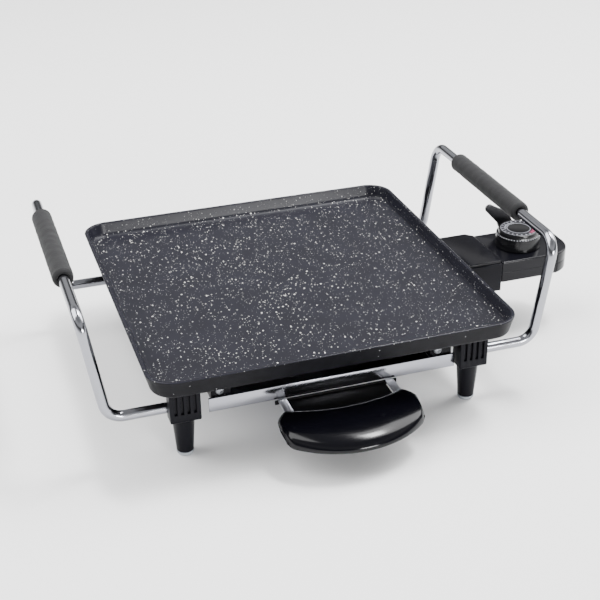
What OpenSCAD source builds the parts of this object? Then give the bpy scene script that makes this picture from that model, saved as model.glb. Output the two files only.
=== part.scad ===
// Electric griddle: a square non-stick cast plate on four moulded feet, with a
// folded wire handle on each side, a drip tray that slides out at the front and
// a plug-in thermostat controller at the right.
// The origin is the centre of the cooking surface, +Z is up, the tray is at -Y
// and the controller at +X.

/* [Plate] */
// Outside width and depth at the rim
plate_w = 300; // [270:1:320]
// Corner radius of the rim in plan
plate_corner_r = 22; // [18:1:30]
// Height of the rim above the cooking surface
rim_h = 12; // [8:0.5:16]
// Thickness of the cooking floor
floor_t = 4; // [3:0.5:5]
// Width of the flat land on top of the rim
rim_land = 3; // [2:0.5:4]
// Length of the grease drain slot
drain_len = 60; // [40:1:80]
// Width of the grease drain slot
drain_w = 5; // [3:0.5:6]

/* [Stand] */
// Distance from the plate centre to each foot, left to right
foot_x = 120; // [118:0.5:122]
// Distance from the plate centre to each foot, front to back
foot_y = 114.4; // [113:0.1:116]
// Width of a foot block
foot_w = 24.5; // [22:0.5:26]
// Height of the cooking surface above the table
surface_h = 74.2; // [70:0.1:80]

/* [Handles] */
// Radius of the handle wire
wire_r = 4.35; // [3.5:0.05:4.5]
// Distance from the plate centre to the foot of each handle
handle_x = 178; // [172:1:182]
// Height of the handle bar's centre above the cooking surface
handle_z = 58.5; // [50:0.5:64]
// Outward lean of the handle in degrees
handle_lean = 8.7; // [0:0.1:10]
// Bend radius of the wire, measured to its centre line
bend_r = 15; // [12:0.5:18]
// Length of each foam grip
grip_len = 124; // [90:1:130]
// Outside radius of each foam grip
grip_r = 8.5; // [7:0.1:9]

/* [Drip tray] */
// Width of the tray's front panel
tray_front_w = 206; // [200:1:207]
// Height of the tray's front panel
tray_front_h = 12; // [10:0.5:13]
// Length of the pan from front to back
tray_len = 220; // [200:1:222]
// Furthest forward reach of the tray handle from the plate centre
tray_grip_front = 194; // [190:1:198]

/* [Controller] */
// Length of the controller case, socket side to cord end
case_len = 73; // [70:0.5:76]
// Width of the controller case
case_w = 60; // [58:0.5:62]
// Height of the controller case
case_h = 20.3; // [19:0.1:22]
// Radius of the knob's skirt
knob_skirt_r = 20.3; // [18:0.1:22]
// Radius of the knob's cap
knob_cap_r = 18.25; // [16:0.05:20]
// Height of the knob's flat top above the cooking surface
knob_top_z = 15.5; // [14:0.1:17]
// Length of the ejector lever from pivot to tip
lever_reach = 36; // [30:0.5:38]

/* [Hidden] */
$fn = 72;
sheet_t = 1;            // folded sheet metal
gap = 0.1;              // clearance round a fixed insert
running = 0.06;         // radial clearance of a turning or sliding fit
under = -floor_t;       // underside of the cooking floor

// plate wall
corner_at = plate_w / 2 - plate_corner_r;
wall_draft = 4;
wall_foot_r = plate_corner_r - rim_land - wall_draft;
fillet_r = 5;
skirt_inset = 3;
skirt_bottom = -1;
slab_r = wall_foot_r - fillet_r;
drain_y = -131;

// grease chute
chute_half = 52;
chute_t = 1.2;
chute_lip_y = -113;
chute_lip_z = -22;
chute_screw_x = 40;
chute_screw_y = -139;

// element, probe and terminals
element_r = 3.3;
element_z = -10.5;
element_half = 85;
element_bend = 12;
terminal_y = 14;
pin_r = 3;
pin_tip_x = 180;
tube_end_x = 130;
bushing_r = 5.2;
probe_r = 3.5;
probe_tip_x = 100;
ridge_bottom = element_z + element_r + 0.05;
clamp_places = [[0, 85, 0], [0, -85, 0], [-85, 0, 90], [85, 50, 90], [85, -50, 90]];
clamp_post_at = 9;
reflector_z = -15;
reflector_half = 95;
reflector_post_at = 50;

// feet
foot_front = 11.6;
block_bottom = -39;
leg_top_r = 8.9;
leg_bottom_r = 6.7;
leg_bottom = -surface_h + 3.7;
tip_r = 6.9;
tip_stem_r = 4.1;
tip_stem_top = leg_bottom + 7;
groove_pitch = 5;
groove_w = 2.4;
groove_depth = 2.2;
groove_bottom = -31.6;
foot_boss_r = 7;
foot_boss_h = 10;
foot_screw_head_z = -50;
foot_places = [[-1, -1], [1, -1], [-1, 1], [1, 1]];

// handles
leg_z = -30;
wire_end_x = 124.3;
lean_turn = 90 - handle_lean;
lower_tangent = bend_r * tan(lean_turn / 2);
lean_height = (handle_z - leg_z) / cos(handle_lean);
grip_shift_left = 13;
grip_shift_right = 6;

// tray and rails
tray_x = 2.5;
tray_face_y = -120;
tray_top = -26;
tray_floor = tray_top - tray_front_h;
tray_body_half = 90;
tray_flange_half = 97;
tray_flange_z = -27;
rail_half = 99.5;
rail_end = 118;
rail_top = -16;
rail_lip_w = 6.5;
rail_flange_w = 21;
rail_flange_z = -22;
rail_flange_end = 104;
rail_ear_w = 15;
rail_screw_x = 91;
rail_screw_z = -21;
rail_boss_w = 12;
rail_boss_front = 117;

// tray handle
grip_x = 3;
grip_axis_y = -117;
grip_sweep_r = tray_grip_front + grip_axis_y;
grip_back_r = 130;
grip_back_y = -18;
grip_top = -36.5;
grip_bottom = -50;
arm_at = 45;
arm_w = 7;
arm_t = 1.5;
arm_top = tray_floor - 0.1;
arm_back = -106;
arm_front = -158;
arm_back_screw = arm_back - 4;
arm_front_screw = arm_front + 6;
web_half = 41;

// socket
socket_x0 = 151;
socket_x1 = 191;
socket_half = 32;
socket_top = -0.7;
socket_h = 26.3;
socket_wall = 2.4;
socket_flange_x = 120;
socket_flange_t = 2;
socket_screw_x = 125;
socket_screw_y = 25;
lid_h = 2.7;

// controller
case_x0 = 192;
case_x1 = case_x0 + case_len;
case_top = -0.7;
case_bottom = case_top - case_h;
case_split = -11;
case_wall = 2.2;
case_end_r = 24;
case_groove_x = 52;     // from the case's socket end
case_groove_w = 4;
case_groove_depth = 0.7;
nose_x0 = 162;
nose_half = 28.5;
nose_top = -4;
nose_bottom = -20.5;
neck_half = 24;
neck_top = -5;
neck_bottom = -18;
neck_end = 200;
sleeve_r = 4.2;
sleeve_x0 = 164;
sleeve_x1 = 188;
knob_x = 222;
knob_shoulder_z = 12;
shaft_r = 3;
thermostat_x0 = 206;
thermostat_x1 = 238;
thermostat_half = 16;
thermostat_top = -8;
case_post_places = [[208, 23], [208, -23], [246, 17], [246, -17]];
cord_r = 4;
gland_z = (case_top + case_bottom) / 2;
lever_x = 231;
lever_z = -6;
lever_y = 32;
lever_t = 3.5;
lever_pin_r = 2;
lever_tip_angle = 37.7;

// ---------- shared shapes ----------

// Rectangle with rounded corners, centred
module rounded_rect(w, d, r) {
    square([w - 2 * r, d], center = true);
    square([w, d - 2 * r], center = true);
    for (sx = [-1, 1], sy = [-1, 1])
        translate([sx * (w / 2 - r), sy * (d / 2 - r)]) circle(r);
}

// Box given by its lowest and highest corners
module box(low, high) {
    translate(low) cube(high - low);
}

// Rod along X from x0 to x1
module rod_x(r, x0, x1) {
    translate([x0, 0, 0]) rotate([0, 90, 0]) cylinder(r = r, h = x1 - x0);
}

// Rod along Y from y0 to y1
module rod_y(r, y0, y1) {
    translate([0, y1, 0]) rotate([90, 0, 0]) cylinder(r = r, h = y1 - y0);
}

// Part of a ring of round wire in the XY plane
module wire_bend(ring_r, r, turn) {
    rotate_extrude(angle = turn, $fn = 96) translate([ring_r, 0]) circle(r, $fn = 48);
}

// Pan-head cross-recess screw, head down, its bearing face at z = 0
module pan_screw(r, length) {
    head_r = 2 * r;
    head_h = 1.3 * r;
    difference() {
        rotate_extrude($fn = 48)
            polygon([[0, length], [r, length - 0.5], [r, 0], [head_r, 0], [head_r, -0.5 * head_h],
                [0.72 * head_r, -head_h], [0, -head_h]]);
        for (turn = [0, 90])
            rotate([0, 0, turn])
                translate([-head_r / 2, -0.3 * r, -head_h - 1]) cube([head_r, 0.6 * r, 1 + 0.6 * head_h]);
    }
}

// Points along an arc, both ends included
function arc_points(centre, r, from, to, steps) =
    [for (step = [0:steps]) let (a = from + (to - from) * step / steps) centre + r * [cos(a), sin(a)]];

// ---------- plate ----------

// Section of the plate's wall; x is measured outwards from the corner's centre
module wall_profile() {
    lean = atan2(wall_draft, rim_h);
    fillet_turn = 90 - lean;
    fillet_x = wall_foot_r - fillet_r * tan(fillet_turn / 2);
    fillet = arc_points([fillet_x, fillet_r], fillet_r, -90, fillet_turn - 90, 6);
    rim_r = plate_corner_r;
    polygon(concat(
        [[slab_r - 2, under], [slab_r - 2, 0]],
        fillet,
        [[rim_r - rim_land - 0.3, rim_h - 0.6], [rim_r - rim_land + 0.5, rim_h],
         [rim_r - 0.8, rim_h], [rim_r, rim_h - 0.8],
         [rim_r - skirt_inset, skirt_bottom], [wall_foot_r, under]]
    ));
}

module plate_shell() {
    for (side = [0:3])
        rotate([0, 0, 90 * side]) translate([corner_at, corner_at, 0]) {
            rotate([90, 0, 0]) linear_extrude(2 * corner_at) wall_profile();
            rotate_extrude(angle = 90, $fn = 96) wall_profile();
        }
    slab_w = 2 * (corner_at + slab_r - 1);
    translate([0, 0, under]) linear_extrude(floor_t) rounded_rect(slab_w, slab_w, slab_r - 1);
}

// Post cast under the floor, down to the given height
module post(place, r, bottom) {
    translate([place[0], place[1], bottom]) cylinder(r = r, h = under - bottom + 0.5);
}

// Pilot hole for a screw that enters from below
module pilot(place, r, bottom, top) {
    translate([place[0], place[1], bottom - 1]) cylinder(r = r, h = top - bottom + 1);
}

module clamp_ears() {
    for (c = clamp_places)
        translate([c[0], c[1], 0]) rotate([0, 0, c[2]])
            for (side = [-1, 1]) translate([0, side * clamp_post_at, 0]) children();
}

module at_reflector_posts() {
    for (sx = [-1, 1], sy = [-1, 1])
        translate([sx * reflector_post_at, sy * reflector_post_at, 0]) children();
}

module at_rail_bosses() {
    for (sx = [-1, 1], turn = [0, 180])
        translate([sx * rail_screw_x, 0, 0]) rotate([0, 0, turn]) children();
}

module griddle_plate() {
    color("#2b2b2e") difference() {
        union() {
            plate_shell();
            // raised seat that the heating element lies against
            translate([0, 0, ridge_bottom]) linear_extrude(under - ridge_bottom + 0.5) difference() {
                rounded_rect(2 * element_half + 8, 2 * element_half + 8, element_bend + 4);
                rounded_rect(2 * element_half - 8, 2 * element_half - 8, element_bend - 4);
            }
            for (f = foot_places)
                post([f[0] * foot_x, f[1] * foot_y], foot_boss_r, under - foot_boss_h);
            clamp_ears() post([0, 0], 3.5, element_z);
            at_reflector_posts() post([0, 0], 4.5, reflector_z);
            at_rail_bosses()
                box([-rail_boss_w / 2, -rail_boss_front, tray_top + 0.5],
                    [rail_boss_w / 2, -rail_boss_front + 11, under + 0.5]);
            box([probe_tip_x + 4, -1.5, element_z + probe_r + 0.8], [118, 1.5, under + 0.5]);
        }
        // grease drain
        for (side = [-1, 1])
            translate([side * (drain_len - drain_w) / 2, drain_y, under - 1])
                cylinder(d = drain_w, h = floor_t + 2);
        box([-(drain_len - drain_w) / 2, drain_y - drain_w / 2, under - 1],
            [(drain_len - drain_w) / 2, drain_y + drain_w / 2, 1]);
        // the plate's own screw holes
        for (f = foot_places) pilot([f[0] * foot_x, f[1] * foot_y], 2.05, under - foot_boss_h, -5);
        clamp_ears() pilot([0, 0], 1.25, element_z, -5);
        at_reflector_posts() pilot([0, 0], 1.55, reflector_z, -7);
        at_rail_bosses()
            translate([0, -rail_boss_front - 1, rail_screw_z]) rotate([-90, 0, 0])
                cylinder(r = 1.8, h = 10);
        for (side = [-1, 1]) {
            pilot([socket_screw_x, side * socket_screw_y], 1.55, under, -1.2);
            pilot([side * chute_screw_x, chute_screw_y], 1.25, under, -1.2);
        }
    }
}

// ---------- grease chute ----------

module drain_chute() {
    flange_y = chute_screw_y - 3;
    bend_y = chute_screw_y + 4;
    bend_z = under - 3;
    color("#1a1a1c") difference() {
        union() {
            // screwed flange, bend and sloping floor
            rotate([90, 0, 90]) translate([0, 0, -chute_half]) linear_extrude(2 * chute_half)
                polygon([[flange_y, under], [bend_y, under], [bend_y + 0.4, bend_z],
                    [chute_lip_y, chute_lip_z + chute_t], [chute_lip_y, chute_lip_z],
                    [bend_y - 0.8, bend_z - 1], [bend_y - chute_t, under - chute_t],
                    [flange_y, under - chute_t]]);
            // cheeks that keep the grease on the floor
            for (side = [-1, 1])
                translate([side * chute_half, 0, 0]) rotate([90, 0, 90])
                    translate([0, 0, side > 0 ? -chute_t : 0]) linear_extrude(chute_t)
                        polygon([[bend_y - 1, under], [bend_y + 8, under], [chute_lip_y, chute_lip_z + 7],
                            [chute_lip_y, chute_lip_z], [bend_y - 1, bend_z - 1]]);
        }
        for (side = [-1, 1])
            pilot([side * chute_screw_x, chute_screw_y], 1.3, under - 3, under + 1);
    }
}

module chute_screws() {
    color("silver") for (side = [-1, 1])
        translate([side * chute_screw_x, chute_screw_y, under - chute_t]) pan_screw(1.2, 3.8);
}

// ---------- heating ----------

module heating_element() {
    half = element_half;
    run = half - element_bend;
    color("#55565a") translate([0, 0, element_z]) {
        for (sy = [-1, 1]) {
            translate([0, sy * half, 0]) rod_x(element_r, -run, run);
            translate([0, sy * terminal_y, 0]) rod_x(element_r, half + element_bend, tube_end_x);
        }
        translate([-half, 0, 0]) rod_y(element_r, -run, run);
        for (sy = [-1, 1]) mirror([0, sy < 0 ? 1 : 0, 0]) {
            translate([half, 0, 0]) rod_y(element_r, terminal_y + element_bend, run);
            translate([run, run, 0]) wire_bend(element_bend, element_r, 90);
            translate([-run, run, 0]) rotate([0, 0, 90]) wire_bend(element_bend, element_r, 90);
            translate([half + element_bend, terminal_y + element_bend, 0])
                rotate([0, 0, 180]) wire_bend(element_bend, element_r, 90);
        }
    }
}

module terminal_pins() {
    color("silver") for (sy = [-1, 1]) translate([0, sy * terminal_y, element_z]) {
        rod_x(pin_r, tube_end_x, pin_tip_x - 1);
        translate([pin_tip_x - 1, 0, 0]) rotate([0, 90, 0]) cylinder(r1 = pin_r, r2 = pin_r - 1, h = 1);
    }
}

module ceramic_bushings() {
    color("ivory") for (sy = [-1, 1]) translate([0, sy * terminal_y, element_z]) difference() {
        rod_x(bushing_r, tube_end_x + 1, socket_x0 + socket_wall + 1);
        rod_x(pin_r + 0.05, tube_end_x, socket_x0 + 10);
    }
}

module element_clamps() {
    color("silver") for (c = clamp_places)
        translate([c[0], c[1], element_z]) rotate([0, 0, c[2]]) difference() {
            union() {
                rod_x(element_r + 1.05, -5, 5);
                box([-4, -clamp_post_at - 3.5, -1], [4, clamp_post_at + 3.5, 0]);
            }
            rod_x(element_r + 0.05, -6, 6);
            box([-6, -20, 0], [6, 20, 10]);
            for (side = [-1, 1])
                translate([0, side * clamp_post_at, -5]) cylinder(r = 1.3, h = 10);
        }
}

module clamp_screws() {
    color("silver") clamp_ears() translate([0, 0, element_z - 1]) pan_screw(1.2, 6);
}

module probe_guide() {
    color("#8a8c90") translate([0, 0, element_z]) difference() {
        rod_x(probe_r + 0.8, probe_tip_x + 4, socket_x0 - 0.2);
        rod_x(probe_r + running, probe_tip_x, socket_x0 + 1);
    }
}

module heat_reflector() {
    color("silver") difference() {
        translate([0, 0, reflector_z - 0.8]) linear_extrude(0.8)
            rounded_rect(2 * reflector_half, 2 * reflector_half, 8);
        at_reflector_posts() translate([0, 0, reflector_z - 2]) cylinder(r = 1.6, h = 4);
    }
}

module reflector_screws() {
    color("silver") at_reflector_posts() translate([0, 0, reflector_z - 0.8]) pan_screw(1.5, 8);
}

// ---------- tray rails ----------

// Folded rail on the +X side, measured from the tray's centre line
module rail() {
    lip_z = tray_flange_z - sheet_t - 0.5;
    ear_low = tray_top + 0.5;
    difference() {
        union() {
            box([rail_half, -rail_end, lip_z - sheet_t], [rail_half + sheet_t, rail_end, rail_top]);
            box([rail_half - rail_lip_w, -rail_end, lip_z - sheet_t],
                [rail_half + sheet_t, rail_end, lip_z]);
            box([rail_half - rail_flange_w, -rail_flange_end, rail_flange_z - sheet_t],
                [rail_half + sheet_t, rail_flange_end, rail_flange_z]);
            for (sy = [-1, 1]) mirror([0, sy > 0 ? 1 : 0, 0])
                box([rail_half - rail_ear_w, -rail_end, ear_low],
                    [rail_half + sheet_t, -rail_end + sheet_t, rail_top]);
        }
        children();
    }
}

module rail_holes() {
    for (sx = [-1, 1]) translate([sx * rail_screw_x, 0, rail_screw_z]) rod_y(1.9, -130, 130);
}

module left_rail() {
    color("#c9cacc") difference() {
        translate([tray_x, 0, 0]) mirror([1, 0, 0]) rail();
        rail_holes();
    }
}

module right_rail() {
    color("#c9cacc") difference() {
        translate([tray_x, 0, 0]) rail();
        rail_holes();
    }
}

module rail_screws() {
    color("silver") at_rail_bosses()
        translate([0, -rail_end, rail_screw_z]) rotate([-90, 0, 0]) pan_screw(1.75, 9);
}

// ---------- socket ----------

module socket_housing() {
    inner = socket_half - socket_wall;
    low = socket_top - socket_h;
    color("#161618") difference() {
        union() {
            box([socket_x0, -socket_half, low], [socket_x1, socket_half, socket_top]);
            box([socket_flange_x, -socket_half, under - socket_flange_t],
                [socket_x0 + 1, socket_half, under]);
        }
        box([socket_x0 + socket_wall, -inner, low + socket_wall],
            [socket_x1 + 1, inner, socket_top - socket_wall]);
        for (sy = [-1, 1]) {
            translate([0, sy * terminal_y, element_z])
                rod_x(bushing_r + 0.05, socket_flange_x - 1, socket_x0 + 5);
            pilot([socket_screw_x, sy * socket_screw_y], 1.6, under - 4, under + 1);
        }
        translate([0, 0, element_z]) rod_x(probe_r + 0.5, socket_x0 - 1, socket_x0 + 5);
    }
}

module socket_lid() {
    front = -socket_half + 1.5;
    back = socket_half - 1;
    color("#1b1b1d") translate([0, 0, socket_top]) {
        linear_extrude(lid_h - 0.6)
            polygon([[socket_x0 + 0.5, front], [socket_x1 - 1, front], [socket_x1 - 1, back - 6],
                [socket_x1 - 7, back], [socket_x0 + 0.5, back]]);
        linear_extrude(lid_h)
            polygon([[socket_x0 + 1.1, front + 0.6], [socket_x1 - 1.6, front + 0.6],
                [socket_x1 - 1.6, back - 6.3], [socket_x1 - 7.3, back - 0.6],
                [socket_x0 + 1.1, back - 0.6]]);
    }
}

module socket_screws() {
    color("silver") for (sy = [-1, 1])
        translate([socket_screw_x, sy * socket_screw_y, under - socket_flange_t]) pan_screw(1.5, 4.6);
}

// ---------- feet ----------

// One foot, its leg centred on the Z axis and its ribbed face towards -Y
module foot() {
    half = foot_w / 2;
    difference() {
        union() {
            translate([0, 0, block_bottom]) linear_extrude(under - block_bottom) {
                circle(half);
                translate([-half, -foot_front]) square([foot_w, foot_front]);
            }
            translate([0, 0, leg_bottom])
                cylinder(r1 = leg_bottom_r, r2 = leg_top_r, h = block_bottom - leg_bottom + 0.5);
        }
        for (k = [-1.5:1:1.5])
            box([k * groove_pitch - groove_w / 2, -foot_front - 1, groove_bottom],
                [k * groove_pitch + groove_w / 2, -foot_front + groove_depth, under + 1]);
        translate([0, 0, under - foot_boss_h - 0.2]) cylinder(r = foot_boss_r + gap, h = 20);
        translate([0, 0, -80]) cylinder(r = 2.1, h = 80);
        translate([0, 0, -80]) cylinder(r = tip_stem_r + gap, h = 80 + foot_screw_head_z);
    }
}

module placed_foot(side, end) {
    color("#101012") difference() {
        translate([side * foot_x, end * foot_y, 0])
            mirror([0, end > 0 ? 1 : 0, 0]) foot();
        translate([0, end * foot_y, leg_z])
            rod_x(wire_r + 0.05, side > 0 ? wire_end_x - gap : -150, side > 0 ? 150 : -wire_end_x + gap);
    }
}

module placed_tip(side, end) {
    color("#8d9094") translate([side * foot_x, end * foot_y, 0]) rotate_extrude()
        polygon(concat(
            [[0, tip_stem_top], [tip_stem_r, tip_stem_top], [tip_stem_r, leg_bottom], [tip_r, leg_bottom]],
            arc_points([tip_r - 3, 3 - surface_h], 3, 0, -90, 6),
            [[0, -surface_h]]
        ));
}

module foot_screws() {
    color("silver") for (f = foot_places)
        translate([f[0] * foot_x, f[1] * foot_y, foot_screw_head_z]) pan_screw(2, 44);
}

// ---------- handles ----------

// Wire handle on the +X side: legs along X, a leaning U and its top bar along Y.
// Each straight length laps over the bends beside it, which are a hair thinner.
module handle_wire() {
    lap = 0.2;
    bent_r = wire_r - 0.02;
    bar_half = foot_y - bend_r;
    for (sy = [-1, 1]) translate([0, sy * foot_y, 0]) {
        translate([0, 0, leg_z]) rod_x(wire_r, wire_end_x, handle_x - lower_tangent + lap);
        translate([handle_x - lower_tangent, 0, leg_z + bend_r])
            rotate([90, 0, 0]) rotate([0, 0, -90]) wire_bend(bend_r, bent_r, lean_turn);
    }
    translate([handle_x, 0, leg_z]) rotate([0, handle_lean, 0]) {
        for (sy = [-1, 1]) mirror([0, sy < 0 ? 1 : 0, 0]) {
            translate([0, foot_y, lower_tangent - lap])
                cylinder(r = wire_r, h = lean_height - bend_r - lower_tangent + 2 * lap);
            translate([0, bar_half, lean_height - bend_r]) rotate([90, 0, 90])
                wire_bend(bend_r, bent_r, 90);
        }
        translate([0, 0, lean_height]) rod_y(wire_r, -bar_half - lap, bar_half + lap);
    }
}

// Foam sleeve round the top bar of the +X handle
module grip(shift) {
    round_r = 3.5;
    bore_r = wire_r + 0.02;
    translate([handle_x + (handle_z - leg_z) * tan(handle_lean), shift - grip_len / 2, handle_z])
        rotate([-90, 0, 0]) rotate_extrude()
            polygon(concat(
                [[bore_r, 0]],
                arc_points([grip_r - round_r, round_r], round_r, -90, 0, 5),
                arc_points([grip_r - round_r, grip_len - round_r], round_r, 0, 90, 5),
                [[bore_r, grip_len]]
            ));
}

module left_handle_wire() {
    color("#b9bbc0") mirror([1, 0, 0]) handle_wire();
}

module right_handle_wire() {
    color("#b9bbc0") handle_wire();
}

module left_grip() {
    color("#1d1d20") mirror([1, 0, 0]) grip(grip_shift_left);
}

module right_grip() {
    color("#1d1d20") grip(grip_shift_right);
}

// ---------- drip tray ----------

module drip_tray() {
    half = tray_body_half;
    front = tray_face_y + sheet_t;
    back = tray_face_y + tray_len;
    color("#c4c6c9") translate([tray_x, 0, 0]) difference() {
        union() {
            box([-tray_front_w / 2, tray_face_y, tray_floor], [tray_front_w / 2, front, tray_top]);
            box([-tray_front_w / 2, front - 0.01, tray_top - sheet_t],
                [tray_front_w / 2, front + 0.7, tray_top]);
            box([-half, front - 0.1, tray_floor], [half, back, tray_flange_z]);
            box([-tray_flange_half, front - 0.1, tray_flange_z - sheet_t],
                [tray_flange_half, back, tray_flange_z]);
        }
        box([-half + sheet_t, front, tray_floor + sheet_t], [half - sheet_t, back - sheet_t, tray_top + 1]);
        for (side = [-1, 1])
            translate([grip_x - tray_x + side * arm_at, arm_back_screw, tray_floor - 1])
                cylinder(r = 1.6, h = 3);
    }
}

// Flat arm that carries one side of the tray handle
module handle_arm(clearance) {
    box([-arm_w / 2 - clearance, arm_front - clearance, arm_top - arm_t - clearance],
        [arm_w / 2 + clearance, arm_back, arm_top + clearance]);
}

module at_arms() {
    for (side = [-1, 1]) translate([grip_x + side * arm_at, 0, 0]) children();
}

module handle_brackets() {
    color("#d0d1d3") difference() {
        at_arms() handle_arm(0);
        at_arms() for (y = [arm_back_screw, arm_front_screw])
            translate([0, y, arm_top - 5]) cylinder(r = 1.6, h = 10);
    }
}

module bracket_screws() {
    color("silver") at_arms() {
        translate([0, arm_back_screw, arm_top - arm_t]) pan_screw(1.5, 4.2);
        translate([0, arm_front_screw, grip_bottom + 5.5]) pan_screw(1.5, 7);
    }
}

// Section of the handle moulding, swept about the upright axis of its front arc
module handle_section() {
    r = grip_sweep_r;
    polygon([[r - 53, grip_bottom + 4.5], [r - 53, grip_top],
        [r - 31, grip_top - 0.4], [r - 17, grip_top - 1.6],
        [r - 9, grip_top - 3.4], [r - 4, grip_top - 5.8], [r - 1, grip_top - 9], [r, grip_top - 11.8],
        [r - 1.5, grip_bottom], [r - 11, grip_bottom]]);
}

module tray_handle() {
    color("#08080a") difference() {
        union() {
            difference() {
                intersection() {
                    translate([grip_x, grip_axis_y, 0]) rotate([0, 0, -145])
                        rotate_extrude(angle = 110, $fn = 144) handle_section();
                    translate([grip_x, 0, grip_bottom - 1]) linear_extrude(20)
                        polygon([[-50, -134], [50, -134], [57.5, -150], [56, -173], [20, -200],
                            [-20, -200], [-56, -173], [-57.5, -150]]);
                }
                // hollow back edge, bowed away from the plate
                translate([grip_x, grip_back_y, grip_bottom - 2])
                    cylinder(r = grip_back_r, h = 30, $fn = 180);
            }
            // web and flange that close the gap to the tray's front
            box([grip_x - web_half, -152, -44], [grip_x + web_half, tray_face_y - 0.6, arm_top - arm_t]);
            box([grip_x - 51, tray_face_y - 2, arm_top - arm_t - 2],
                [grip_x + 51, tray_face_y - 0.6, arm_top]);
        }
        at_arms() {
            handle_arm(gap);
            translate([0, arm_front_screw, grip_bottom - 1]) cylinder(r = 3.2, h = 6.5);
            translate([0, arm_front_screw, grip_bottom]) cylinder(r = 1.6, h = 12.6);
        }
    }
}

// ---------- controller ----------

// Plan of the controller case, drawn in by inset all round
module case_plan(inset) {
    half = case_w / 2;
    end_at = case_x1 - case_end_r;
    translate([case_x0 + inset, -half + inset]) square([end_at - case_x0 - inset, case_w - 2 * inset]);
    for (sy = [-1, 1])
        translate([end_at, sy * (half - case_end_r)]) circle(case_end_r - inset);
    translate([end_at - 1, -half + case_end_r]) square([case_end_r + 1 - inset, case_w - 2 * case_end_r]);
}

// Everything that passes through the case walls, cut from both halves
module case_openings() {
    box([case_x0 - 1, -neck_half - gap, neck_bottom - gap], [neck_end, neck_half + gap, neck_top + gap]);
    translate([0, 0, gland_z]) rod_x(5.5, case_x1 - 10, case_x1 + 1);
    translate([lever_x, 0, lever_z]) rod_y(lever_pin_r + 0.02, 20, 40);
    translate([knob_x, 0, -10]) cylinder(r = shaft_r + 0.5, h = 20);
    for (sy = [-1, 1])
        box([case_x0 + case_groove_x, sy * case_w / 2 - case_groove_depth, case_bottom - 1],
            [case_x0 + case_groove_x + case_groove_w, sy * case_w / 2 + case_groove_depth, 5]);
}

module controller_base() {
    floor_z = case_bottom + 2;
    color("#121214") difference() {
        union() {
            difference() {
                translate([0, 0, case_bottom]) linear_extrude(case_split - case_bottom) case_plan(0);
                translate([0, 0, floor_z]) linear_extrude(20) case_plan(case_wall);
            }
            for (p = case_post_places)
                translate([p[0], p[1], case_bottom]) cylinder(r = 3.6, h = case_split - case_bottom);
        }
        case_openings();
        for (p = case_post_places) translate([p[0], p[1], case_bottom - 1]) {
            cylinder(r = 1.6, h = 20);
            cylinder(r = 3.1, h = 3);
        }
    }
}

module controller_cover() {
    ceiling = case_top - case_wall;
    color("#151517") difference() {
        union() {
            difference() {
                translate([0, 0, case_split]) linear_extrude(case_top - case_split) case_plan(0);
                translate([0, 0, case_split - 1]) linear_extrude(ceiling - case_split + 1)
                    case_plan(case_wall);
            }
            for (p = case_post_places)
                translate([p[0], p[1], case_split]) cylinder(r = 3.6, h = ceiling - case_split + 0.5);
        }
        case_openings();
        for (p = case_post_places) translate([p[0], p[1], case_split - 1]) cylinder(r = 1.25, h = 7);
    }
}

module terminal_block() {
    color("#26262a") difference() {
        union() {
            box([nose_x0, -nose_half, nose_bottom], [case_x0, nose_half, nose_top]);
            box([case_x0 - 1, -neck_half, neck_bottom], [neck_end, neck_half, neck_top]);
        }
        translate([0, 0, element_z]) {
            rod_x(probe_r + 0.05, nose_x0 - 1, neck_end + 1);
            for (sy = [-1, 1]) translate([0, sy * terminal_y, 0]) {
                rod_x(sleeve_r + 0.05, nose_x0 - 1, sleeve_x1);
                rod_x(1.25, nose_x0, neck_end + 1);
            }
        }
    }
}

module contact_sleeves() {
    color("#c7a24a") for (sy = [-1, 1]) translate([0, sy * terminal_y, element_z]) difference() {
        rod_x(sleeve_r, sleeve_x0, sleeve_x1);
        rod_x(pin_r + running, sleeve_x0 - 1, sleeve_x1 - 4);
    }
}

module contact_leads() {
    color("#b8864a") for (sy = [-1, 1])
        translate([0, sy * terminal_y, element_z]) rod_x(1.2, sleeve_x1, thermostat_x0);
}

module probe_rod() {
    color("silver") translate([0, 0, element_z]) {
        rod_x(probe_r, probe_tip_x + 2, thermostat_x0);
        translate([probe_tip_x, 0, 0]) rotate([0, 90, 0]) cylinder(r1 = probe_r - 2, r2 = probe_r, h = 2);
    }
}

module thermostat_unit() {
    color("#3a3a3e") difference() {
        union() {
            box([thermostat_x0, -thermostat_half, case_bottom + 2],
                [thermostat_x1, thermostat_half, thermostat_top]);
            translate([knob_x, 0, thermostat_top]) cylinder(r = 6, h = 3);
        }
        translate([knob_x, 0, -16]) cylinder(r = shaft_r + running, h = 20);
    }
}

module case_screws() {
    color("silver") for (p = case_post_places) translate([p[0], p[1], case_bottom + 2]) pan_screw(1.2, 13);
}

module cord_gland() {
    color("#0e0e10") translate([0, 0, gland_z]) difference() {
        union() {
            rod_x(5.45, case_x1 - 5, case_x1);
            rod_x(7, case_x1, case_x1 + 3);
            rod_x(7, case_x1 - 5, case_x1 - 2.4);
        }
        rod_x(cord_r, case_x1 - 6, case_x1 + 4);
    }
}

module lever_pin() {
    color("silver") translate([lever_x, 0, lever_z]) {
        rod_y(lever_pin_r, 27, lever_y + lever_t + 0.3);
        rod_y(3.4, lever_y + lever_t + 0.3, lever_y + lever_t + 1.6);
    }
}

// Two close turns of wire between the case and the lever
module lever_spring() {
    color("silver") translate([lever_x, 0, lever_z]) for (y = [30.6, 31.5])
        translate([0, y, 0]) rotate([90, 0, 0]) wire_bend(3, 0.4, 360);
}

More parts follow.
